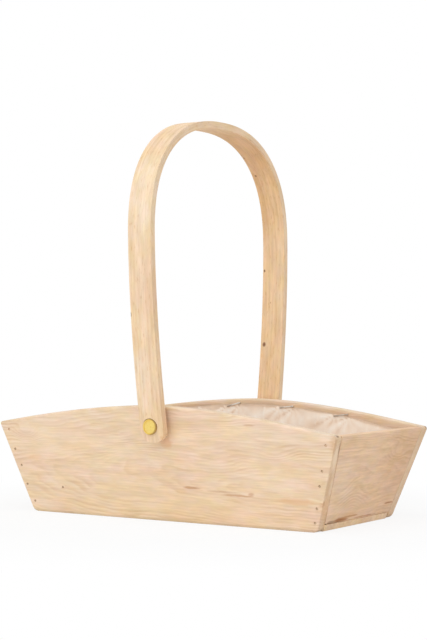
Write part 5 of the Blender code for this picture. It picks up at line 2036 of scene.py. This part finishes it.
class Trug:
    """The whole trug, built in order."""

    def __init__(self) -> None:
        """Lay out the plans and build the shared node groups."""
        self.box = BoxPlan()
        self.pivot = PivotPlan(self.box)
        self.hoop = HoopPlan(self.pivot)
        self.nails = NailPlan(self.box)
        self.staples = StaplePlan(self.box)
        self.groups = EffectGroups()

    def boards(self) -> None:
        """The five boards of the box."""
        splay = atan(self.box.splay)
        slant = atan(self.box.slant)
        side_foot = self.box.foot_width / 2
        end_foot = self.box.foot_length / 2
        sides = (
            (Wall.FRONT, 0.0, 3.0, (-0.085, 0.033, 0.022), side_marks()),
            (Wall.BACK, pi, 11.0, (-0.035, 0.052, 0.026), back_marks()),
        )
        for wall, facing, seed, pith, marks in sides:
            # The inner and foot tints are painted shade on the inner face and along the lower edge, and the
            # rim gets a painted highlight where it faces up
            finish = Timber(f"{wall.value}_board_wood", self.groups, FaceFrame(facing, splay, side_foot),
                            seed=seed, pith=pith, ring_width=0.002, contrast=0.64,
                            inner=(0.84, 0.79, 0.77), foot_shade=0.7, rim_highlight=0.8,
                            end_grain=(0.74, 0.475, 0.265), marks=marks).material()
            piece = SideBoard(wall, self.box, self.pivot, self.nails).build()
            dress(piece, finish, [f"{wall.value}_side_panel"])
        ends = (
            (Wall.RIGHT, -pi / 2, 23.0, (0.06, 0.036, 0.024), end_marks()),
            (Wall.LEFT, pi / 2, 37.0, (-0.04, 0.046, 0.03), ()),
        )
        for wall, facing, seed, pith, marks in ends:
            finish = Timber(f"{wall.value}_end_board_wood", self.groups, FaceFrame(facing, slant, end_foot),
                            seed=seed, pith=pith, ring_width=0.0022, contrast=0.62, waver=0.0036,
                            pale=(0.905, 0.655, 0.44), ring=(0.74, 0.485, 0.29), warm=(0.86, 0.575, 0.36),
                            blush=(0.885, 0.63, 0.44), marks=marks).material()
            piece = EndBoard(wall, self.box, self.nails).build()
            dress(piece, finish, [f"{wall.value}_end_panel"])
        # Painted light: the base board's pale tone is raised above the other boards' and its cut ends get no
        # darker end-grain tone, so that its shaded edge shows brighter
        finish = Timber("floor_board_wood", self.groups, FaceFrame(0.0, pi / 2), seed=51.0,
                        pith=(0.01, 0.01, 0.05), end_share=0.0, pale=(1.0, 0.77, 0.505),
                        ring=(0.84, 0.6, 0.375), contrast=0.5).material()
        dress(BaseBoard(self.box, self.nails).build(), finish, ["base_board"])

    def handle(self) -> None:
        """The bent strap."""
        under = -self.hoop.strap_thickness
        knots = (
            Mark(KNOT, 0.096, -0.0089, 0.0026, 0.0011, 0.85),
            Mark(KNOT, 0.5531, -0.0056, 0.0026, 0.002, 0.95, under),
            Mark(KNOT, 0.4911, -0.0074, 0.0017, 0.0011, 0.95, under),
            Mark(KNOT, 0.4052, -0.0054, 0.0015, 0.0012, 0.8, under),
            Mark(KNOT, 0.383, -0.0075, 0.0012, 0.001, 0.55, under),
            Mark(STREAK, 0.518, -0.001, 0.0012, 0.0008, 0.55, under),
            Mark(CREAM, 0.185, 0.002, 0.05, 0.02, 0.75),
            Mark(CREAM, 0.045, -0.006, 0.035, 0.009, 0.7),
            Mark(DEEP, 0.105, 0.008, 0.05, 0.007, 0.4),
            # Painted shade: the next two marks darken the inner face under the crown and along the back leg's
            # left arris
            Mark(DEEP, 0.37, 0.0, 0.06, 0.03, 0.9, under, 0.003),
            Mark(DEEP, 0.435, -0.008, 0.05, 0.008, 0.6, under, 0.003),
            Mark(CREAM, 0.505, 0.008, 0.05, 0.007, 0.7, under, 0.003),
        )
        # The inner tint is partly the strap's own warmer tone on its inner face and partly painted warm shade
        finish = Timber("handle_wood", self.groups, attribute="strap_place", seed=71.0,
                        pith=(0.01, 0.045, 0.05), ring_width=0.0021, waver=0.0011, contrast=0.6, marks=knots,
                        pale=(0.89, 0.68, 0.455), ring=(0.79, 0.545, 0.325), warm=(0.88, 0.62, 0.375),
                        blush=(0.875, 0.64, 0.44), inner=(1.0, 0.935, 0.82), inner_from=-0.0056,
                        flecks=0.75).material()
        dress(BentHandle(self.hoop).build(), finish, ["handle_hoop"], Body.HANDLE)

    def pivots(self) -> None:
        """Both pivots' hardware."""
        # The cap's darker rim is painted shade and dark reflection on its rolled rim
        rim = ((0.0, 0.0, self.pivot.height), self.pivot.cap_diameter / 2, (0.44, 0.27, 0.09))
        brass = Metal("cap_brass", self.groups, (0.96, 0.73, 0.225), (0.86, 0.59, 0.15), 0.4, 0.5,
                      rim=rim).material()
        zinc = Metal("nut_zinc", self.groups, (0.6, 0.59, 0.57), (0.42, 0.41, 0.4), 0.34, 0.5).material()
        for wall in (Wall.FRONT, Wall.BACK):
            side = wall.value
            pivot = Pivot(wall, self.pivot, self.hoop)
            spacer_wood = Timber(f"{side}_spacer_wood", self.groups, FaceFrame(pi / 2), seed=83.0,
                                 pith=(0.0, 0.07, 0.0), pale=(0.66, 0.46, 0.28), ring=(0.5, 0.32, 0.18),
                                 warm=(0.6, 0.38, 0.21)).material()
            dress(pivot.bolt(), brass, [f"{side}_pivot_bolt"])
            dress(pivot.spacer(), spacer_wood, [f"{side}_spacer"])
            dress(pivot.washer(), zinc, [f"{side}_washer"])
            dress(pivot.nut(), zinc, [f"{side}_lock_nut"])

    def fastenings(self) -> None:
        """Nails of the four corners and of the base, and the liner's staples."""
        dark = Metal("nail_metal", self.groups, (0.62, 0.46, 0.31), (0.42, 0.28, 0.17), 0.5, 0.65,
                     filled_above=0.056).material()
        bright = Metal("staple_metal", self.groups, (0.8, 0.77, 0.73), (0.42, 0.33, 0.25), 0.3, 0.5,
                       blotch=0.014, tarnish=0.9).material()
        kit = Fastenings(self.nails, self.staples)
        nails = self.nails
        staples = self.staples
        kinds = {
            "brad": (kit.nail_tree, dark, "nail_steel", {"Tilt": 0.012, "Length": nails.brad_length}),
            "base_nail": (kit.nail_tree, dark, "nail_steel", {"Tilt": 0.01, "Length": nails.base_length}),
            "staple": (kit.staple_tree, bright, "staple_steel", {"Tilt": 0.0}),
        }
        rows = (
            ("front_left", "nails", "brad", nails.brads(-1), False),
            ("front_right", "nails", "brad", nails.brads(1), False),
            ("back_right", "nails", "brad", nails.brads(-1), True),
            ("back_left", "nails", "brad", nails.brads(1), True),
            ("right", "floor_nails", "base_nail", nails.base_nails(), False),
            ("left", "floor_nails", "base_nail", nails.base_nails(), True),
            ("front", "wire_staples", "staple", staples.side_places(), False),
            ("back", "wire_staples", "staple", staples.side_places(), True),
            ("right", "wire_staples", "staple", staples.end_places(), False),
            ("left", "wire_staples", "staple", staples.end_places(), True),
        )
        for side, title, kind, places, far in rows:
            tree, finish, slot, inputs = kinds[kind]
            placed = [turn_about(far) @ place for place in places]
            piece = kit.place(f"{side}_{title}", tree, placed, {"Finish": finish, **inputs})
            nodes = [f"{side}_{kind}_{number + 1}" for number in range(len(places))]
            dress(piece, finish, nodes)

    def liner(self) -> None:
        """The stapled film."""
        film = Liner(self.box, self.staples)
        piece = film.build()
        dress(piece, Film().material(), ["liner"])


def main() -> None:
    """Build the trug and its studio."""
    logging.basicConfig(level=logging.INFO, format="%(name)s: %(message)s")
    Studio().build()
    trug = Trug()
    trug.boards()
    trug.handle()
    trug.pivots()
    trug.fastenings()
    trug.liner()


if __name__ == "__main__":
    main()
